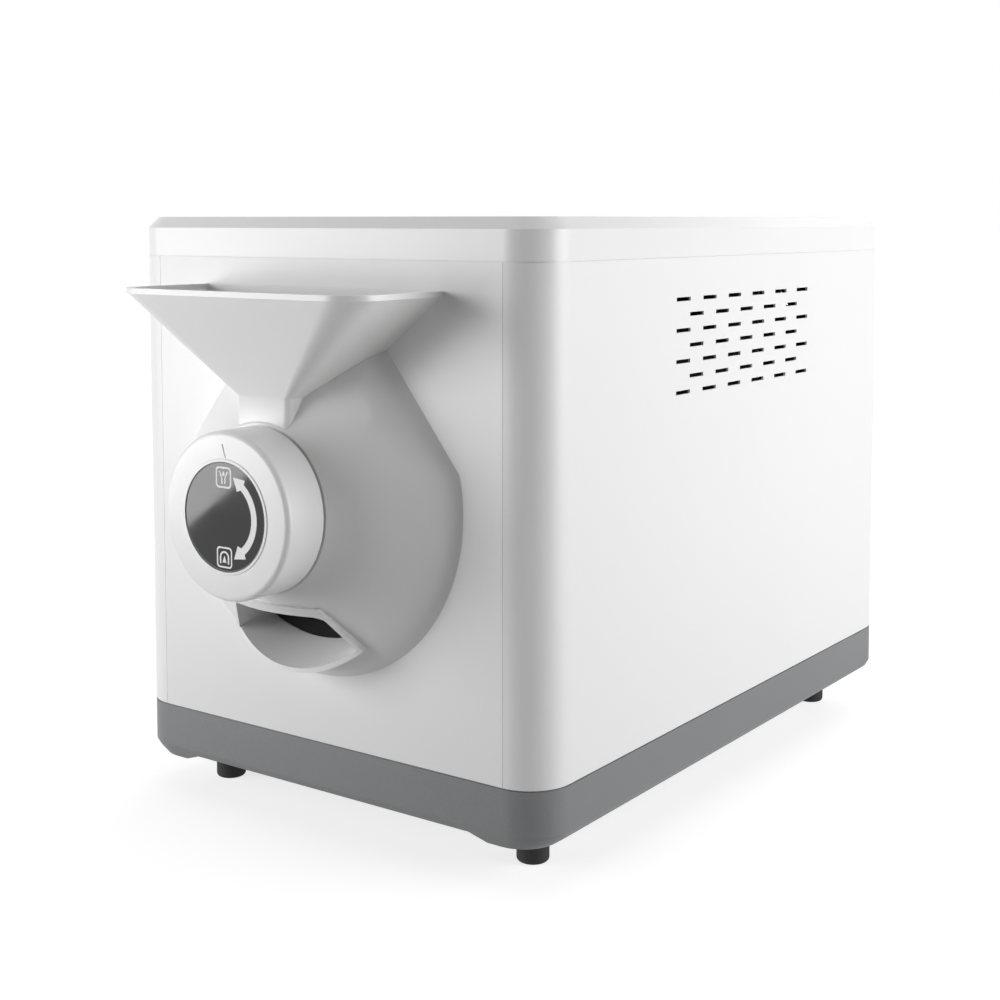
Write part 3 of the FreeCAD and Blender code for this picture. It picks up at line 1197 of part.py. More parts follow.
def power_rocker():
    """Rocker cap with a shallow V front, drawn tilted to its off position."""
    width = SWITCH_WIDTH - 2 * SWITCH_WALL - 2 * MOVING_GAP
    reach = SWITCH_TALL / 2 - SWITCH_WALL - MOVING_GAP
    pivot_y = BACK - ROCKER_PIVOT_DEPTH
    left = INLET_X - width / 2
    cap = Part.makeCylinder(reach, width, V(left, pivot_y, SWITCH_Z), V(1, 0, 0))
    outline = [
        (-ROCKER_BACK, -reach), (ROCKER_CREST + ROCKER_RISE, -reach), (ROCKER_CREST, 0),
        (ROCKER_CREST + ROCKER_RISE, reach), (-ROCKER_BACK, reach),
    ]
    points = [V(left, pivot_y + y, SWITCH_Z + z) for y, z in outline]
    keep = Part.Face(Part.makePolygon(points + points[:1])).extrude(V(width, 0, 0))
    cap = cap.common(keep)
    cap.rotate(V(0, pivot_y, SWITCH_Z), V(1, 0, 0), -ROCKER_TILT)
    return cap


# ---- Top controls ----
def deck_wire(inset, z):
    half_x = DECK_WIDTH / 2 - inset
    half_y = DECK_DEPTH / 2 - inset
    radius = DECK_CORNER - inset
    return rounded_wire(-half_x, half_x, DECK_Y - half_y, DECK_Y + half_y, z, radius, radius)


def display_block(inset, z0, z1):
    half_x = DISPLAY_WIDTH / 2 - inset
    half_y = DISPLAY_DEPTH / 2 - inset
    return box(-half_x, half_x, DISPLAY_Y - half_y, DISPLAY_Y + half_y, z0, z1)


def control_overlay():
    """Thin plate in the deck's recess, with holes for the buttons and a window for the display."""
    floor = TOP_Z - DECK_RECESS
    plate = prism(deck_wire(DECK_CLEARANCE, floor), DECK_RECESS - OVERLAY_DROP)
    holes = [rod_z(BUTTON_RADIUS + MOVING_GAP, floor, TOP_Z, x, BUTTON_Y) for x in BUTTON_XS]
    return plate.cut(holes + [display_block(0, floor, TOP_Z)])


def display_window():
    floor = TOP_Z - DECK_RECESS
    return display_block(SEAT_GAP, floor, TOP_Z - OVERLAY_DROP)


def push_button(x):
    """Cap whose top is level with the cover, a flange that keeps it in, and a stem onto its key."""
    under = BUTTON_UNDER
    cap = rod_z(BUTTON_RADIUS, under - BUTTON_FLANGE, TOP_Z, x, BUTTON_Y)
    rim = [e for e in cap.Edges if min(v.Z for v in e.Vertexes) > TOP_Z - BUTTON_EDGE]
    cap = cap.makeFillet(BUTTON_EDGE, rim)
    flange = rod_z(BUTTON_RADIUS + BUTTON_SHOULDER, under - BUTTON_FLANGE, under, x, BUTTON_Y)
    stem = rod_z(STEM_RADIUS, STEM_END, under - BUTTON_FLANGE, x, BUTTON_Y)
    return fuse([cap, flange, stem])


def board_post_places():
    x = DECK_WIDTH / 2 - BOARD_SCREW_INSET_X
    y = BOARD_DEPTH / 2 - BOARD_SCREW_INSET_Y
    return [(sx * x, DECK_Y + sy * y) for sx in (-1, 1) for sy in (-1, 1)]


def control_board():
    board = box(-DECK_WIDTH / 2, DECK_WIDTH / 2, DECK_Y - BOARD_DEPTH / 2, DECK_Y + BOARD_DEPTH / 2,
                BOARD_Z, BOARD_Z + BOARD_THICKNESS)
    return board.cut([screw_hole(x, y, BOARD_Z, V(0, 0, 1)) for x, y in board_post_places()])


def board_screws():
    length = SCREW_LENGTH - SCREW_TIP_GAP
    return Part.makeCompound([screw(x, y, BOARD_Z, V(0, 0, 1), length) for x, y in board_post_places()])


def board_keys():
    """Small key switches on the board, one under each button's stem."""
    top = STEM_END - BUTTON_TRAVEL - MOVING_GAP
    half = KEY_SIZE / 2
    keys = []
    for x in BUTTON_XS:
        body = box(x - half, x + half, BUTTON_Y - half, BUTTON_Y + half, BOARD_Z + BOARD_THICKNESS, top - KEY_TIP)
        keys.append(fuse([body, rod_z(KEY_TIP_RADIUS, top - KEY_TIP, top, x, BUTTON_Y)]))
    return Part.makeCompound(keys)


# ---- Power board, on the base tray's stands behind the rear plate ----
def stand_places():
    x = POWER_BOARD_WIDTH / 2 - STAND_INSET
    y = POWER_BOARD_DEPTH / 2 - STAND_INSET
    return [(POWER_BOARD_X + sx * x, POWER_BOARD_Y + sy * y) for sx in (-1, 1) for sy in (-1, 1)]


def power_board():
    """Mains board with a relay and a finned heat sink."""
    top = STAND_TOP + BOARD_THICKNESS
    half_x = POWER_BOARD_WIDTH / 2
    half_y = POWER_BOARD_DEPTH / 2
    left, right = POWER_BOARD_X - half_x, POWER_BOARD_X + half_x
    y = POWER_BOARD_Y
    board = box(left, right, y - half_y, y + half_y, STAND_TOP, top)
    relay_x = left + RELAY_INSET
    relay = box(relay_x, relay_x + RELAY_WIDTH, y - RELAY_DEPTH / 2, y + RELAY_DEPTH / 2, top, top + RELAY_HEIGHT)
    sink_x, sink_y = right - RELAY_INSET - SINK_WIDTH, y - SINK_DEPTH / 2
    root = box(sink_x, sink_x + SINK_WIDTH, sink_y, sink_y + SINK_DEPTH, top, top + SINK_ROOT)
    pitch = (SINK_DEPTH - FIN_THICKNESS) / (FIN_COUNT - 1)
    fins = [box(sink_x, sink_x + SINK_WIDTH, fin_y, fin_y + FIN_THICKNESS, top, top + SINK_HEIGHT)
            for fin_y in (sink_y + index * pitch for index in range(FIN_COUNT))]
    holes = [screw_hole(hx, hy, top, V(0, 0, -1)) for hx, hy in stand_places()]
    return fuse([board, relay, root] + fins).cut(holes)


def frame_screws():
    length = PLATE + BASE_WALL - SCREW_TIP_GAP
    made = [screw(x, y, FLOOR_Z + PLATE, V(0, 0, -1), length) for x, y in frame_screw_places()]
    made += [screw(x, y, STAND_TOP + BOARD_THICKNESS, V(0, 0, -1), SCREW_LENGTH - SCREW_TIP_GAP) for x, y in stand_places()]
    return Part.makeCompound(made)


def parts():
    """Every sub-part by its node's name."""
    right = right_side_panel()
    made = {
        "base_tray": base_tray(), "feet": feet(), "foot_screws": foot_screws(),
        "right_side_panel": right, "left_side_panel": mirrored_x(right), "front_panel": front_panel(),
        "rear_panel": rear_panel(), "top_cover": top_cover(), "rear_screws": rear_screws(),
        "nose_housing": nose_housing(), "discharge_chute": discharge_chute(), "feed_hopper": feed_hopper(),
        "front_screws": screws_behind_front_panel(),
        "dial_ring": dial_ring(), "dial_face": dial_face(), "dial_spindle": dial_spindle(),
        "front_spider": front_spider(), "diverter_scoop": diverter_scoop(), "dial_screws": dial_screws(),
        "front_frame_plate": front_frame_plate(), "rear_frame_plate": rear_frame_plate(), "frame_screws": frame_screws(),
        "front_bearing_ring": front_bearing_ring(), "rear_bearing": rear_bearing(),
        "roasting_drum": roasting_drum(), "drum_vanes": drum_vanes(), "drum_hub": drum_hub(), "drum_shaft": drum_shaft(),
        "chamber_shell": chamber_shell(), "insulation_blanket": insulation_blanket(),
        "heater_rods": heater_rods(), "heater_bushes": heater_bushes(), "temperature_probe": temperature_probe(),
        "shaft_coupling": shaft_coupling(), "gearmotor_shaft": gearmotor_shaft(), "gearmotor": gearmotor(),
        "motor_plate": motor_plate(), "motor_posts": motor_posts(), "motor_screws": motor_screws(),
        "fan_frame": fan_frame(), "fan_rotor": fan_rotor(),
        "power_inlet": power_inlet(), "inlet_pins": inlet_pins(), "switch_frame": switch_frame(),
        "power_rocker": power_rocker(),
        "control_overlay": control_overlay(), "display_window": display_window(),
        "control_board": control_board(), "board_keys": board_keys(), "board_screws": board_screws(),
        "power_board": power_board(),
    }
    for name, x in zip(BUTTON_NAMES, BUTTON_XS):
        made[name] = push_button(x)
    return made


def main():
    os.makedirs("parts", exist_ok=True)
    for name, shape in parts().items():
        shape.exportStep("parts/" + name + ".step")
        size = shape.BoundBox
        print(f"{name:20s} solids {len(shape.Solids)} valid {shape.isValid()} volume {shape.Volume:10.1f}"
              f" x {size.XMin:.1f}..{size.XMax:.1f} y {size.YMin:.1f}..{size.YMax:.1f} z {size.ZMin:.1f}..{size.ZMax:.1f}")


main()
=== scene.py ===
import json
import math

import bmesh
import bpy
from mathutils import Matrix, Quaternion, Vector
from mathutils.bvhtree import BVHTree

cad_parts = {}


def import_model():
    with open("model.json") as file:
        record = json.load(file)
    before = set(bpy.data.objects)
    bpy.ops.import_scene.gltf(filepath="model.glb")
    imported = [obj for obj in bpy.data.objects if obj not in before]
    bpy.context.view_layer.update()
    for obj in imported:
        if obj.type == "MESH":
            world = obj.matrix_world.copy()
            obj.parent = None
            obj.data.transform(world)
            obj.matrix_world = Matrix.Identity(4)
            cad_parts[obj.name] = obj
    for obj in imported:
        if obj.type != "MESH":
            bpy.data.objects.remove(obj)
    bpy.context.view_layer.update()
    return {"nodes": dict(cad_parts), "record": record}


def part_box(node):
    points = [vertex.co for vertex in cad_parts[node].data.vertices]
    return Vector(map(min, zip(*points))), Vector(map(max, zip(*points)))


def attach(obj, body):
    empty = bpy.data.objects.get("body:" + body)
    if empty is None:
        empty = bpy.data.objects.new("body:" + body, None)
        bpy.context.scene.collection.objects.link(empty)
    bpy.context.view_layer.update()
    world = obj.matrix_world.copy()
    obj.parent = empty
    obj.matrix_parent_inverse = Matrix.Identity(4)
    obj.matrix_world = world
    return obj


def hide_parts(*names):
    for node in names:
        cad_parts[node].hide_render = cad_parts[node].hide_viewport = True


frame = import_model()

NODES = frame["nodes"]
MM = 0.001

# ---- Places taken over from the solids ----
AXIS_Z = (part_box("drum_shaft")[0][2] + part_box("drum_shaft")[1][2]) / 2
FACE_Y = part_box("dial_face")[0][1]


# ---- Node trees ----
def socket(node, name, value):
    node.inputs[name].default_value = value


def map_range(tree, value, low, high, source=(0.0, 1.0)):
    """The value carried over from the source range to low and high, and kept between them."""
    node = tree.nodes.new("ShaderNodeMapRange")
    socket(node, "From Min", source[0])
    socket(node, "From Max", source[1])
    socket(node, "To Min", low)
    socket(node, "To Max", high)
    tree.links.new(value, node.inputs["Value"])
    return node.outputs["Result"]


def arithmetic(tree, operation, first, second, clamp=False):
    node = tree.nodes.new("ShaderNodeMath")
    node.operation = operation
    node.use_clamp = clamp
    tree.links.new(first, node.inputs[0])
    tree.links.new(second, node.inputs[1])
    return node.outputs[0]


# ---- Finishes ----
EVEN = (1.0, 1.0, 1.0)
BRUSHED_Y = (1.0, 0.04, 1.0)
TURNED_Y = (1.0, 12.0, 1.0)
FELTED_Y = (1.0, 0.25, 1.0)
NOISE_RANGE = (0.3, 0.7)  # the middle range of a noise texture, stretched over the whole
BROAD_DETAIL = 3.0
FINE_DETAIL = 2.0
SPECKLE_LOW = -0.6  # under 0, so that the speckles cover only part of the surface
# A Mix node names its sockets alike for numbers, vectors and colours: these are the colour ones.
MIX_FACTOR, MIX_A, MIX_B, MIX_RESULT = 0, 6, 7, 2


def noise(tree, size, detail, stretch=EVEN):
    """Noise over object coordinates with features of about the given size in metres."""
    coordinates = tree.nodes.new("ShaderNodeTexCoord")
    mapping = tree.nodes.new("ShaderNodeMapping")
    socket(mapping, "Scale", stretch)
    texture = tree.nodes.new("ShaderNodeTexNoise")
    socket(texture, "Scale", 1.0 / size)
    socket(texture, "Detail", detail)
    tree.links.new(coordinates.outputs["Object"], mapping.inputs["Vector"])
    tree.links.new(mapping.outputs["Vector"], texture.inputs["Vector"])
    return texture.outputs["Fac"]


def finish(name, colour, roughness, metallic=0.0, tone=0.03, tone_size=0.04, grain=0.0,
           grain_size=0.001, grain_stretch=EVEN, rough_spread=0.05, speckle=None, shader=None):
    """Procedural finish: broad tone changes, roughness that varies, and a fine raised grain.

    Sizes and the grain's height are in metres. A speckled finish has a grain too.
    """
    material = bpy.data.materials.new(name)
    material.use_nodes = True
    material.diffuse_color = (*colour, 1.0)
    tree = material.node_tree
    principled = tree.nodes["Principled BSDF"]
    socket(principled, "Metallic", metallic)
    for key, value in (shader or {}).items():
        socket(principled, key, value)
    broad = noise(tree, tone_size, BROAD_DETAIL)
    tones = tree.nodes.new("ShaderNodeMix")
    tones.data_type = "RGBA"
    socket(tones, MIX_A, (*[c * (1.0 - tone) for c in colour], 1.0))
    socket(tones, MIX_B, (*[min(1.0, c * (1.0 + tone)) for c in colour], 1.0))
    tree.links.new(map_range(tree, broad, 0.0, 1.0, NOISE_RANGE), tones.inputs[MIX_FACTOR])
    result = tones.outputs[MIX_RESULT]
    fine = noise(tree, grain_size, FINE_DETAIL, grain_stretch) if grain else None
    if speckle:
        speckles = tree.nodes.new("ShaderNodeMix")
        speckles.data_type = "RGBA"
        socket(speckles, MIX_B, (*speckle, 1.0))
        tree.links.new(result, speckles.inputs[MIX_A])
        amount = map_range(tree, fine, SPECKLE_LOW, 1.0, NOISE_RANGE)
        tree.links.new(amount, speckles.inputs[MIX_FACTOR])
        result = speckles.outputs[MIX_RESULT]
    tree.links.new(result, principled.inputs["Base Color"])
    lowest, highest = roughness - rough_spread, roughness + rough_spread
    rough = map_range(tree, fine if grain else broad, lowest, highest, NOISE_RANGE)
    tree.links.new(rough, principled.inputs["Roughness"])
    if grain:
        bump = tree.nodes.new("ShaderNodeBump")
        socket(bump, "Strength", 1.0)
        socket(bump, "Distance", grain)
        tree.links.new(fine, bump.inputs["Height"])
        tree.links.new(bump.outputs["Normal"], principled.inputs["Normal"])
    return material


FINISHES = {
    "case_white": finish(
        "powder_coat", (0.86, 0.862, 0.86), 0.42,
        tone=0.006, tone_size=0.12, grain=2e-6, grain_size=0.0011),
    "moulded_white": finish(
        "moulded_white", (0.86, 0.862, 0.858), 0.34,
        tone=0.008, tone_size=0.08, grain=6e-7, grain_size=0.0006),
    "base_grey": finish(
        "moulded_grey", (0.165, 0.168, 0.173), 0.4,
        tone=0.03, tone_size=0.05, grain=1.6e-5, grain_size=0.0006,
        speckle=(0.188, 0.191, 0.196), shader={"Specular IOR Level": 0.9}),
    "rubber_black": finish(
        "rubber", (0.012, 0.012, 0.012), 0.75,
        tone=0.2, tone_size=0.006, grain=2e-5, grain_size=0.0005),
    "face_black": finish(
        "printed_disc", (0.012, 0.012, 0.013), 0.06,
        tone=0.15, tone_size=0.02, rough_spread=0.015),
    "steel": finish(
        "brushed_steel", (0.58, 0.58, 0.57), 0.33, 1.0,
        tone=0.05, tone_size=0.03, grain=4e-6, grain_size=0.0006,
        grain_stretch=BRUSHED_Y, rough_spread=0.09),
    "zinc": finish(
        "zinc_plate", (0.66, 0.66, 0.62), 0.3, 1.0,
        tone=0.08, tone_size=0.002, grain=3e-6, grain_size=0.0005),
    "bronze": finish(
        "sintered_bronze", (0.5, 0.33, 0.15), 0.42, 1.0,
        tone=0.1, tone_size=0.01, grain=8e-6, grain_size=0.0003),
    "ceramic": finish(
        "ceramic", (0.78, 0.75, 0.68), 0.7,
        tone=0.05, tone_size=0.01, grain=1e-5, grain_size=0.0005, speckle=(0.6, 0.56, 0.5)),
    # Near-black wool: painted shade, so the blanket seen through the vent slots reads as deep shade.
    "wool": finish(
        "wool_dark_as_painted_shade", (0.03, 0.03, 0.031), 0.95,
        tone=0.1, tone_size=0.02, grain=4e-4, grain_size=0.003, grain_stretch=FELTED_Y),
    "aluminium": finish(
        "turned_aluminium", (0.72, 0.72, 0.73), 0.28, 1.0,
        tone=0.04, tone_size=0.01, grain=3e-6, grain_size=0.0004, grain_stretch=TURNED_Y),
    "motor_black": finish(
        "wrinkle_enamel", (0.02, 0.02, 0.022), 0.5,
        tone=0.2, tone_size=0.01, grain=6e-5, grain_size=0.0015),
    # Black coat on the parts seen through the discharge mouth. Its near-zero colour and weak gloss
    # are also painted shade, which keeps the mouth dark.
    "coated_black": finish(
        "black_coat_and_mouth_shade", (0.007, 0.007, 0.0072), 0.7,
        tone=0.15, tone_size=0.01, grain=1e-5, grain_size=0.0006,
        shader={"Specular IOR Level": 0.1}),
    "black_plastic": finish(
        "black_plastic", (0.018, 0.018, 0.019), 0.45,
        tone=0.15, tone_size=0.01, grain=8e-6, grain_size=0.0005),
    "board_green": finish(
        "solder_mask", (0.015, 0.11, 0.045), 0.3,
        tone=0.35, tone_size=0.004, grain=1.5e-5, grain_size=0.0016),
    "panel_dark": finish(
        "overlay", (0.035, 0.036, 0.04), 0.28,
        tone=0.06, tone_size=0.03, grain=2e-6, grain_size=0.0004),
    "display_glass": finish(
        "smoked_window", (0.006, 0.006, 0.007), 0.06,
        tone=0.1, tone_size=0.02, rough_spread=0.02),
    "key_white": finish(
        "key_cap", (0.8, 0.8, 0.8), 0.36,
        tone=0.01, tone_size=0.01, grain=1e-6, grain_size=0.0005),
}
PRINT_WHITE = finish("print_white", (0.83, 0.83, 0.83), 0.45, tone=0.02, tone_size=0.002)
PRINT_GREY = finish("print_grey", (0.12, 0.125, 0.13), 0.5, tone=0.05, tone_size=0.002)
SLOT_OF = {part["node"]: part["material_slot"] for part in frame["record"]["subparts"]}
for node_name, node in NODES.items():
    node.data.materials.clear()
    node.data.materials.append(FINISHES[SLOT_OF[node_name]])

# ---- Shading of the carried-over solids ----
SMOOTH_LIMIT = 30.0  # degrees between two faces that still shade as one surface
MERGE_DISTANCE = 2e-6


def shading_group():
    """Joins the vertices that the import split and shades smooth up to the limit."""
    group = bpy.data.node_groups.new("shade_by_angle", "GeometryNodeTree")
    group.interface.new_socket("Geometry", in_out="INPUT", socket_type="NodeSocketGeometry")
    group.interface.new_socket("Geometry", in_out="OUTPUT", socket_type="NodeSocketGeometry")
    start = group.nodes.new("NodeGroupInput")
    end = group.nodes.new("NodeGroupOutput")
    merge = group.nodes.new("GeometryNodeMergeByDistance")
    socket(merge, "Distance", MERGE_DISTANCE)
    faces = group.nodes.new("GeometryNodeSetShadeSmooth")
    faces.domain = "FACE"
    socket(faces, "Shade Smooth", True)
    edges = group.nodes.new("GeometryNodeSetShadeSmooth")
    edges.domain = "EDGE"
    socket(edges, "Shade Smooth", False)
    angle = group.nodes.new("GeometryNodeInputMeshEdgeAngle")
    sharp = group.nodes.new("FunctionNodeCompare")
    sharp.data_type = "FLOAT"
    sharp.operation = "GREATER_THAN"
    socket(sharp, "B", math.radians(SMOOTH_LIMIT))
    link = group.links.new
    link(start.outputs[0], merge.inputs["Geometry"])
    link(merge.outputs["Geometry"], faces.inputs["Geometry"])
    link(faces.outputs["Geometry"], edges.inputs["Geometry"])
    link(angle.outputs["Unsigned Angle"], sharp.inputs["A"])
    link(sharp.outputs["Result"], edges.inputs["Selection"])
    link(edges.outputs["Geometry"], end.inputs[0])
    return group


# Width of the rounded edges, in millimetres. The other nodes keep the edges of the solids.
EDGE_WIDTH = {"power_inlet": 0.4, "switch_frame": 0.3, "power_rocker": 0.3}
EDGE_SEGMENTS = 2
EDGE_LIMIT = 40  # degrees from which an edge is rounded
SHADING = shading_group()
for node_name, node in NODES.items():
    if "custom_normal" in node.data.attributes:
        node.data.attributes.remove(node.data.attributes["custom_normal"])
    modifier = node.modifiers.new("shading", "NODES")
    modifier.node_group = SHADING
    if node_name in EDGE_WIDTH:
        bevel = node.modifiers.new("edges", "BEVEL")
        bevel.width = EDGE_WIDTH[node_name] * MM
        bevel.segments = EDGE_SEGMENTS
        bevel.limit_method = "ANGLE"
        bevel.angle_limit = math.radians(EDGE_LIMIT)
        bevel.use_clamp_overlap = False
        bevel.harden_normals = True

# ---- Pieces and outlines ----
FRONTWARDS = Matrix.Rotation(math.radians(90), 4, "X")
BACKWARDS = Matrix.Rotation(math.radians(180), 4, "Z") @ FRONTWARDS
UPWARDS = Matrix.Identity(4)
DOWNWARDS = Matrix.Rotation(math.radians(180), 4, "X")
PRINT_THICKNESS = 0.00004


def into_scene(item):
    bpy.context.scene.collection.objects.link(item)
    return item


def piece_of(name, mesh, matrix, material, body):
    piece = bpy.data.objects.new(name, mesh)
    piece.matrix_world = matrix
    into_scene(piece)
    mesh.materials.clear()
    mesh.materials.append(material)
    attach(piece, body)
    return piece


def printed(name, outlines, place, facing, material, body):
    """Thin raised print from closed outlines in millimetres; an outline inside another is a hole."""
    curve = bpy.data.curves.new(name, "CURVE")
    curve.dimensions = "2D"
    curve.fill_mode = "BOTH"
    curve.extrude = PRINT_THICKNESS / 2
    for outline in outlines:
        spline = curve.splines.new("POLY")
        spline.points.add(len(outline) - 1)
        spline.use_cyclic_u = True
        for point, (u, v) in zip(spline.points, outline):
            point.co = (u * MM, v * MM, 0.0, 1.0)
    shape = bpy.data.objects.new(name, curve)
    mesh = bpy.data.meshes.new_from_object(shape)
    bpy.data.objects.remove(shape)
    bpy.data.curves.remove(curve)
    return piece_of(name, mesh, Matrix.Translation(place) @ facing, material, body)


def arc(radius, start, end, steps=24, centre=(0.0, 0.0)):
    """Points on an arc, in millimetres and degrees."""
    points = []
    for index in range(steps + 1):
        turn = math.radians(start + (end - start) * index / steps)
        points.append((centre[0] + radius * math.cos(turn), centre[1] + radius * math.sin(turn)))
    return points


def circle(radius, steps):
    """Points all round, without the last one, which falls on the first."""
    return arc(radius, 0, 360, steps)[:-1]


def at(radius, angle):
    return arc(radius, angle, angle, 1)[0]


def rounded(x0, x1, y0, y1, radius):
    outline = []
    for x, y, start in ((x1 - radius, y1 - radius, 0), (x0 + radius, y1 - radius, 90),
                        (x0 + radius, y0 + radius, 180), (x1 - radius, y0 + radius, 270)):
        outline += arc(radius, start, start + 90, 6, (x, y))
    return outline


def bar(width, height):
    return rounded(-width / 2, width / 2, -height / 2, height / 2, min(width, height) * 0.3)


def shifted(outline, x, y):
    return [(u + x, v + y) for u, v in outline]


def flipped(outline):
    return [(-u, v) for u, v in outline]


def top_middle(low, high):
    return ((low[0] + high[0]) / 2, (low[1] + high[1]) / 2, high[2])


# ---- Prints on the disc: double arrow, feed and discharge pictograms, border line ----
ARROW_OUTER, ARROW_INNER = 20.3, 16.9
HEAD_OUTER, HEAD_TIP, HEAD_INNER = 22.3, 19.8, 14.9
DOUBLE_ARROW = (
    arc(ARROW_OUTER, -52, 52, 32)
    + [at(HEAD_OUTER, 54), at(HEAD_TIP, 73), at(HEAD_INNER, 57), at(ARROW_INNER, 52)]
    + arc(ARROW_INNER, 50, -50, 32)
    + [at(ARROW_INNER, -52), at(HEAD_INNER, -57), at(HEAD_TIP, -73), at(HEAD_OUTER, -54)]
)
ICON_FRAME = [rounded(-4.9, 4.9, -4.9, 4.9, 1.9), rounded(-4.1, 4.1, -4.1, 4.1, 1.3)]
FUNNEL_SIDE = [(-3.0, 2.8), (-2.1, 2.8), (-0.55, -0.5), (-0.55, -3.0), (-1.35, -3.0), (-1.35, -0.3)]
BEAN = [(0.75 * math.cos(t / 8 * math.pi), 1.6 + 1.1 * math.sin(t / 8 * math.pi)) for t in range(16)]
CHUTE_ARCH = (
    [(3.0, -3.0)] + arc(3.0, 0, 180, 16) + [(-3.0, -3.0), (-2.1, -3.0)]
    + arc(2.1, 180, 0, 16) + [(2.1, -3.0)]
)
CHUTE_HEAP = [(0.0, 0.9), (-1.3, -2.4), (1.3, -2.4)]
FEED_ICON = ICON_FRAME + [FUNNEL_SIDE, flipped(FUNNEL_SIDE), BEAN]
DISCHARGE_ICON = ICON_FRAME + [CHUTE_ARCH, CHUTE_HEAP]
ICON_X, FEED_ICON_Y, DISCHARGE_ICON_Y = -0.4, 18.3, -18.8
for name, outlines, material in (
    ("disc_arrow", [DOUBLE_ARROW], PRINT_WHITE),
    ("disc_feed_icon", [shifted(o, ICON_X, FEED_ICON_Y) for o in FEED_ICON], PRINT_WHITE),
    ("disc_discharge_icon", [shifted(o, ICON_X, DISCHARGE_ICON_Y) for o in DISCHARGE_ICON],
     PRINT_WHITE),
    ("disc_border", [circle(25.2, 96), circle(24.9, 96)], PRINT_GREY),
):
    printed(name, outlines, (0.0, FACE_Y, AXIS_Z), FRONTWARDS, material, "case")

# ---- Prints on the keys ----
KEY_ICONS = {
    "power": [arc(2.7, 125, 415, 28) + arc(2.0, 415, 125, 28), shifted(bar(0.7, 3.0), 0.0, 1.9)],
    "minus": [bar(5.2, 0.9)],
    "plus": [[(-2.6, -0.45), (-0.45, -0.45), (-0.45, -2.6), (0.45, -2.6), (0.45, -0.45), (2.6, -0.45),
              (2.6, 0.45), (0.45, 0.45), (0.45, 2.6), (-0.45, 2.6), (-0.45, 0.45), (-2.6, 0.45)]],
    "start": [[(-1.7, -2.5), (2.6, 0.0), (-1.7, 2.5)]],
}
for key, outlines in KEY_ICONS.items():
    place = top_middle(*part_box(key + "_button"))
    printed(key + "_icon", outlines, place, UPWARDS, PRINT_GREY, key + "_key")

# ---- Seven-segment numerals in the display, all strokes showing faintly as when it is off ----
SEGMENTS = (
    (0.0, 3.6, 0), (1.9, 1.8, 90), (1.9, -1.8, 90), (0.0, -3.6, 0), (-1.9, -1.8, 90), (-1.9, 1.8, 90),
    (0.0, 0.0, 0),
)
STROKE = [(-1.55, 0.0), (-1.2, 0.35), (1.2, 0.35), (1.55, 0.0), (1.2, -0.35), (-1.2, -0.35)]
NUMERAL_LEAN = 0.12
NUMERAL_PLACES = (-21, -14, -7, 7, 14, 21)


def segment(x, y, turned_by):
    """One stroke of a leaning numeral, pointed at both ends."""
    along = [(-v, u) for u, v in STROKE] if turned_by else STROKE
    leaning = [(u + NUMERAL_LEAN * v, v) for u, v in along]
    return shifted(leaning, x + NUMERAL_LEAN * y, y)


numerals = [shifted(segment(*stroke), x, 0.0) for x in NUMERAL_PLACES for stroke in SEGMENTS]
window = top_middle(*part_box("display_window"))
printed("display_numerals", numerals, window, UPWARDS, PRINT_GREY, "case")

# ---- ON and OFF marks on the rocker, laid on its slanting faces ----
MARK_RISE = 0.0055
BEHIND_ALL = 1.0  # a Y well behind the object, from which the ray is cast


def on_back(node_name, x, z):
    """Spot on a node's rear face at this X and Z, and the rotation of a print lying there."""
    mesh = NODES[node_name].data
    faces = BVHTree.FromPolygons([v.co for v in mesh.vertices], [p.vertices for p in mesh.polygons])
    spot, normal, _, _ = faces.ray_cast(Vector((x, BEHIND_ALL, z)), Vector((0.0, -1.0, 0.0)))
    across = Vector((-1.0, 0.0, 0.0))
    return spot, Matrix((across, normal.cross(across), normal)).transposed().to_4x4()


low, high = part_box("power_rocker")
rocker_x, rocker_z = (low[0] + high[0]) / 2, (low[2] + high[2]) / 2
for name, rise, outlines in (
    ("on", MARK_RISE, [bar(0.7, 3.4)]),
    ("off", -MARK_RISE, [circle(1.7, 28), circle(1.1, 28)]),
):
    spot, facing = on_back("power_rocker", rocker_x, rocker_z + rise)
    printed("rocker_" + name, outlines, spot, facing, PRINT_WHITE, "rocker")

# ---- Screws with thread and cross recess, in the place of the plain ones that show ----
HEAD_RADIUS = 2.8 * MM
HEAD_HEIGHT = 1.8 * MM
SHANK_RADIUS = 1.5 * MM
TIP_SHARE = 0.6  # radius of the shank's flat end, as a share of its own
ROOT_SHARE = 0.84  # radius between the threads, likewise
THREAD_PITCH = 0.0007
THREAD_START = 0.0004
THREAD_FLANK = 0.00035
HEAD_SIDE = 0.45  # share of the head's height that is upright, and below it the domed share
HEAD_DOME = 0.55
DOME_INSET = 0.9 * HEAD_HEIGHT * HEAD_DOME  # how far the dome draws in, before the widening
DOME_WIDENING = 1.6
DOME_STEPS = 6
DOME_STEP_ANGLE = 15
SPIN_STEPS = 32
SCREW_SMOOTH_LIMIT = 35
SCREW_TURN = 37  # degrees by which each screw is turned further than the one before it
ISLAND_MERGE = 1e-6
SCREW_MERGE = 1e-7
# The cross recess, in millimetres: reach of a wing at its top and bottom, levels, half thickness.
WING_WIDE, WING_NARROW, WING_TOP, WING_BOTTOM, WING_HALF = 1.55, 0.7, 0.4, -1.25, 0.32
SQUARE = ((-1, -1), (1, -1), (1, 1), (-1, 1))


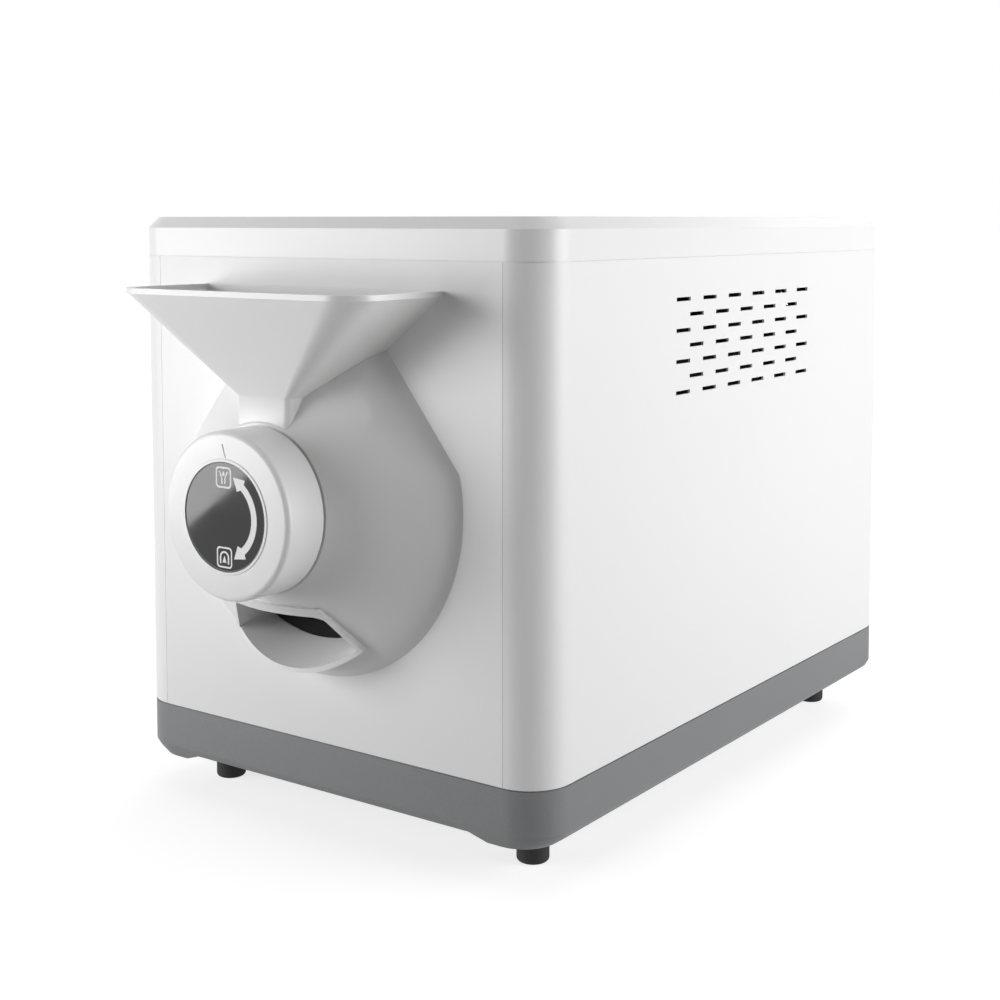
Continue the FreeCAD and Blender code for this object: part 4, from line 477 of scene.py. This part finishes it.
def islands(node_name):
    """Lowest and highest corner of each separate solid of a node, in the order of its vertices."""
    work = bmesh.new()
    work.from_mesh(NODES[node_name].data)
    bmesh.ops.remove_doubles(work, verts=work.verts, dist=ISLAND_MERGE)
    seen = set()
    found = []
    for seed in work.verts:
        if seed in seen:
            continue
        seen.add(seed)
        reached = [seed]
        for vertex in reached:
            for edge in vertex.link_edges:
                other = edge.other_vert(vertex)
                if other not in seen:
                    seen.add(other)
                    reached.append(other)
        places = [v.co for v in reached]
        found.append([Vector([pick(p[axis] for p in places) for axis in range(3)])
                      for pick in (min, max)])
    work.free()
    return found


def cross_cutter():
    """Two crossed wedges that narrow downwards."""
    work = bmesh.new()
    for along_x in (False, True):
        corners = []
        for reach, level in ((WING_NARROW, WING_BOTTOM), (WING_WIDE, WING_TOP)):
            x, y = (reach, WING_HALF) if along_x else (WING_HALF, reach)
            corners.append([work.verts.new((sx * x * MM, sy * y * MM, level * MM))
                            for sx, sy in SQUARE])
        lower, upper = corners
        work.faces.new(lower[::-1])
        work.faces.new(upper)
        for index in range(4):
            following = (index + 1) % 4
            work.faces.new((lower[index], lower[following], upper[following], upper[index]))
    mesh = bpy.data.meshes.new("cutter")
    work.to_mesh(mesh)
    work.free()
    return mesh


def screw_profile(length):
    """Radius and level of the corners from the tip up to the top of the domed head."""
    profile = [(0.0, -length), (SHANK_RADIUS * TIP_SHARE, -length)]
    for index in range(int(length / THREAD_PITCH)):
        level = -length + THREAD_START + index * THREAD_PITCH
        profile += [(SHANK_RADIUS * ROOT_SHARE, level), (SHANK_RADIUS, level + THREAD_FLANK)]
    profile += [(SHANK_RADIUS * ROOT_SHARE, 0.0), (HEAD_RADIUS, 0.0),
                (HEAD_RADIUS, HEAD_HEIGHT * HEAD_SIDE)]
    for step in range(1, DOME_STEPS + 1):
        turn = math.radians(step * DOME_STEP_ANGLE)
        profile.append((HEAD_RADIUS - DOME_INSET * (1 - math.cos(turn)) * DOME_WIDENING,
                        HEAD_HEIGHT * (HEAD_SIDE + HEAD_DOME * math.sin(turn))))
    return profile + [(0.0, HEAD_HEIGHT)]


def screw_mesh(length):
    """Pan head with a cross recess on a shank with a thread; the seat is at 0."""
    work = bmesh.new()
    chain = [work.verts.new((radius, 0.0, level)) for radius, level in screw_profile(length)]
    strip = [work.edges.new(pair) for pair in zip(chain, chain[1:])]
    bmesh.ops.spin(work, geom=chain + strip, cent=(0, 0, 0), axis=(0, 0, 1), angle=math.tau,
                   steps=SPIN_STEPS, use_merge=True)
    bmesh.ops.remove_doubles(work, verts=work.verts, dist=SCREW_MERGE)
    bmesh.ops.recalc_face_normals(work, faces=work.faces)
    mesh = bpy.data.meshes.new("screw")
    work.to_mesh(mesh)
    work.free()
    body = into_scene(bpy.data.objects.new("screw", mesh))
    tool = into_scene(bpy.data.objects.new("cutter", cross_cutter()))
    tool.location = (0.0, 0.0, HEAD_HEIGHT)
    recess = body.modifiers.new("recess", "BOOLEAN")
    recess.object = tool
    recess.solver = "EXACT"
    recess.use_self = True
    bpy.context.view_layer.update()
    evaluated = body.evaluated_get(bpy.context.evaluated_depsgraph_get())
    cut = bpy.data.meshes.new_from_object(evaluated)
    for helper in (body, tool):
        bpy.data.objects.remove(helper)
    cut.shade_smooth()
    cut.set_sharp_from_angle(angle=math.radians(SCREW_SMOOTH_LIMIT))
    return cut


def detailed_screws(node_name, axis, outward, facing):
    """Screws in the places of a node's solids, each turned a little differently."""
    joined = bmesh.new()
    for index, (low, high) in enumerate(islands(node_name)):
        mesh = screw_mesh((high - low)[axis] - HEAD_HEIGHT)
        place = (low + high) / 2
        place[axis] = (high[axis] - HEAD_HEIGHT) if outward > 0 else (low[axis] + HEAD_HEIGHT)
        turn = Matrix.Rotation(math.radians(SCREW_TURN * index), 4, "Z")
        mesh.transform(Matrix.Translation(place) @ facing @ turn)
        joined.from_mesh(mesh)
        bpy.data.meshes.remove(mesh)
    mesh = bpy.data.meshes.new(node_name + "_detailed")
    joined.to_mesh(mesh)
    joined.free()
    piece = piece_of(node_name + "_detailed", mesh, Matrix.Identity(4), FINISHES["zinc"], "case")
    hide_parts(node_name)


detailed_screws("rear_screws", 1, 1, BACKWARDS)
detailed_screws("foot_screws", 2, -1, DOWNWARDS)

# ---- Floor and world ----
FLOOR_HALF = 30
FLOOR_SEEN = 0.45  # the floor's own colour, and below it the one that lights the object
FLOOR_BOUNCED = 0.46
GLOW_NEAR, GLOW_FAR = 0.3, 0.75  # metres from the middle between which the floor turns white
GLOW_LOW, GLOW_HIGH = 0.74, 1.0
WORLD_FILL = 0.05


def camera_like(tree):
    """1 for camera, glossy and transmission rays, 0 for the rest."""
    path = tree.nodes.new("ShaderNodeLightPath")
    direct = arithmetic(tree, "MAXIMUM", path.outputs["Is Camera Ray"], path.outputs["Is Glossy Ray"])
    return arithmetic(tree, "MAXIMUM", direct, path.outputs["Is Transmission Ray"])


def stage_floor():
    """Pale floor that keeps the shadow, turns white further out, and shows no lamp light in gloss."""
    mesh = bpy.data.meshes.new("floor")
    corners = [(sx * FLOOR_HALF, sy * FLOOR_HALF, 0) for sx, sy in SQUARE]
    mesh.from_pydata(corners, [], [(0, 1, 2, 3)])
    floor = into_scene(bpy.data.objects.new("floor", mesh))
    material = bpy.data.materials.new("pale_floor")
    material.use_nodes = True
    tree = material.node_tree
    principled = tree.nodes["Principled BSDF"]
    socket(principled, "Roughness", 0.9)
    socket(principled, "Specular IOR Level", 0.1)
    socket(principled, "Emission Color", (1.0, 1.0, 1.0, 1.0))
    coordinates = tree.nodes.new("ShaderNodeTexCoord")
    away = tree.nodes.new("ShaderNodeVectorMath")
    away.operation = "LENGTH"
    tree.links.new(coordinates.outputs["Object"], away.inputs[0])
    glow = map_range(tree, away.outputs["Value"], GLOW_LOW, GLOW_HIGH, (GLOW_NEAR, GLOW_FAR))
    path = tree.nodes.new("ShaderNodeLightPath")
    colour = map_range(tree, path.outputs["Is Diffuse Ray"], FLOOR_SEEN, FLOOR_BOUNCED)
    matt = arithmetic(tree, "SUBTRACT", colour, path.outputs["Is Glossy Ray"], clamp=True)
    tree.links.new(matt, principled.inputs["Base Color"])
    strength = arithmetic(tree, "MULTIPLY", camera_like(tree), glow)
    tree.links.new(strength, principled.inputs["Emission Strength"])
    mesh.materials.append(material)


def world():
    """White where it is seen or reflected, and a weak fill on the object."""
    scene_world = bpy.data.worlds.new("studio")
    scene_world.use_nodes = True
    tree = scene_world.node_tree
    background = tree.nodes["Background"]
    socket(background, "Color", (1.0, 1.0, 1.0, 1.0))
    strength = map_range(tree, camera_like(tree), WORLD_FILL, 1.0)
    tree.links.new(strength, background.inputs["Strength"])
    bpy.context.scene.world = scene_world


stage_floor()
world()


# ---- Lamps ----
def softbox(name, place, target, size, watts, roll=0.0):
    light = bpy.data.lights.new(name, "AREA")
    light.shape = "RECTANGLE"
    light.size, light.size_y = size
    light.energy = watts
    lamp = bpy.data.objects.new(name, light)
    lamp.location = place
    facing = (Vector(target) - Vector(place)).to_track_quat("-Z", "Y")
    lamp.rotation_euler = (facing @ Quaternion((0.0, 0.0, 1.0), math.radians(roll))).to_euler()
    lamp.visible_camera = False
    return into_scene(lamp)


MIDDLE = (0.0, -0.15, 0.17)
softbox("key", (-0.77, -1.005, 0.33), MIDDLE, (0.95, 0.6), 10.4)
softbox("right", (1.113, 0.3, 0.4), MIDDLE, (0.8, 0.8), 10.8)
softbox("top", (0.0, 0.0, 1.6), (0.0, 0.0, 0.0), (1.2, 1.2), 5.5)
softbox("rear", (-0.45, 1.25, 0.5), (0.0, 0.2, 0.17), (0.9, 0.7), 10.0)
# Makes the pale part of the glossy disc. It is seen in reflections only and gives no diffuse light.
reflector = softbox("reflected_in_disc", (-0.3585, -0.5112, 0.1533), (-0.0016, FACE_Y, 0.1769),
                    (0.16, 0.14), 0.36, roll=38.5)
reflector.visible_diffuse = False

# ---- Camera, at the angle and distance calibrated from the photograph ----
CAMERA_PLACE = (0.5206, -0.7390, AXIS_Z + 0.1358)
CAMERA_TILT = 85.509
CAMERA_TURN = 35.519
camera_data = bpy.data.cameras.new("camera")
camera_data.sensor_width = 36.0
camera_data.lens = 57.09
camera_data.shift_x = -0.002
camera_data.shift_y = -0.1557
camera = into_scene(bpy.data.objects.new("camera", camera_data))
camera.location = CAMERA_PLACE
camera.rotation_euler = (math.radians(CAMERA_TILT), 0.0, math.radians(CAMERA_TURN))
bpy.context.scene.camera = camera
bpy.context.scene.view_settings.view_transform = "Standard"
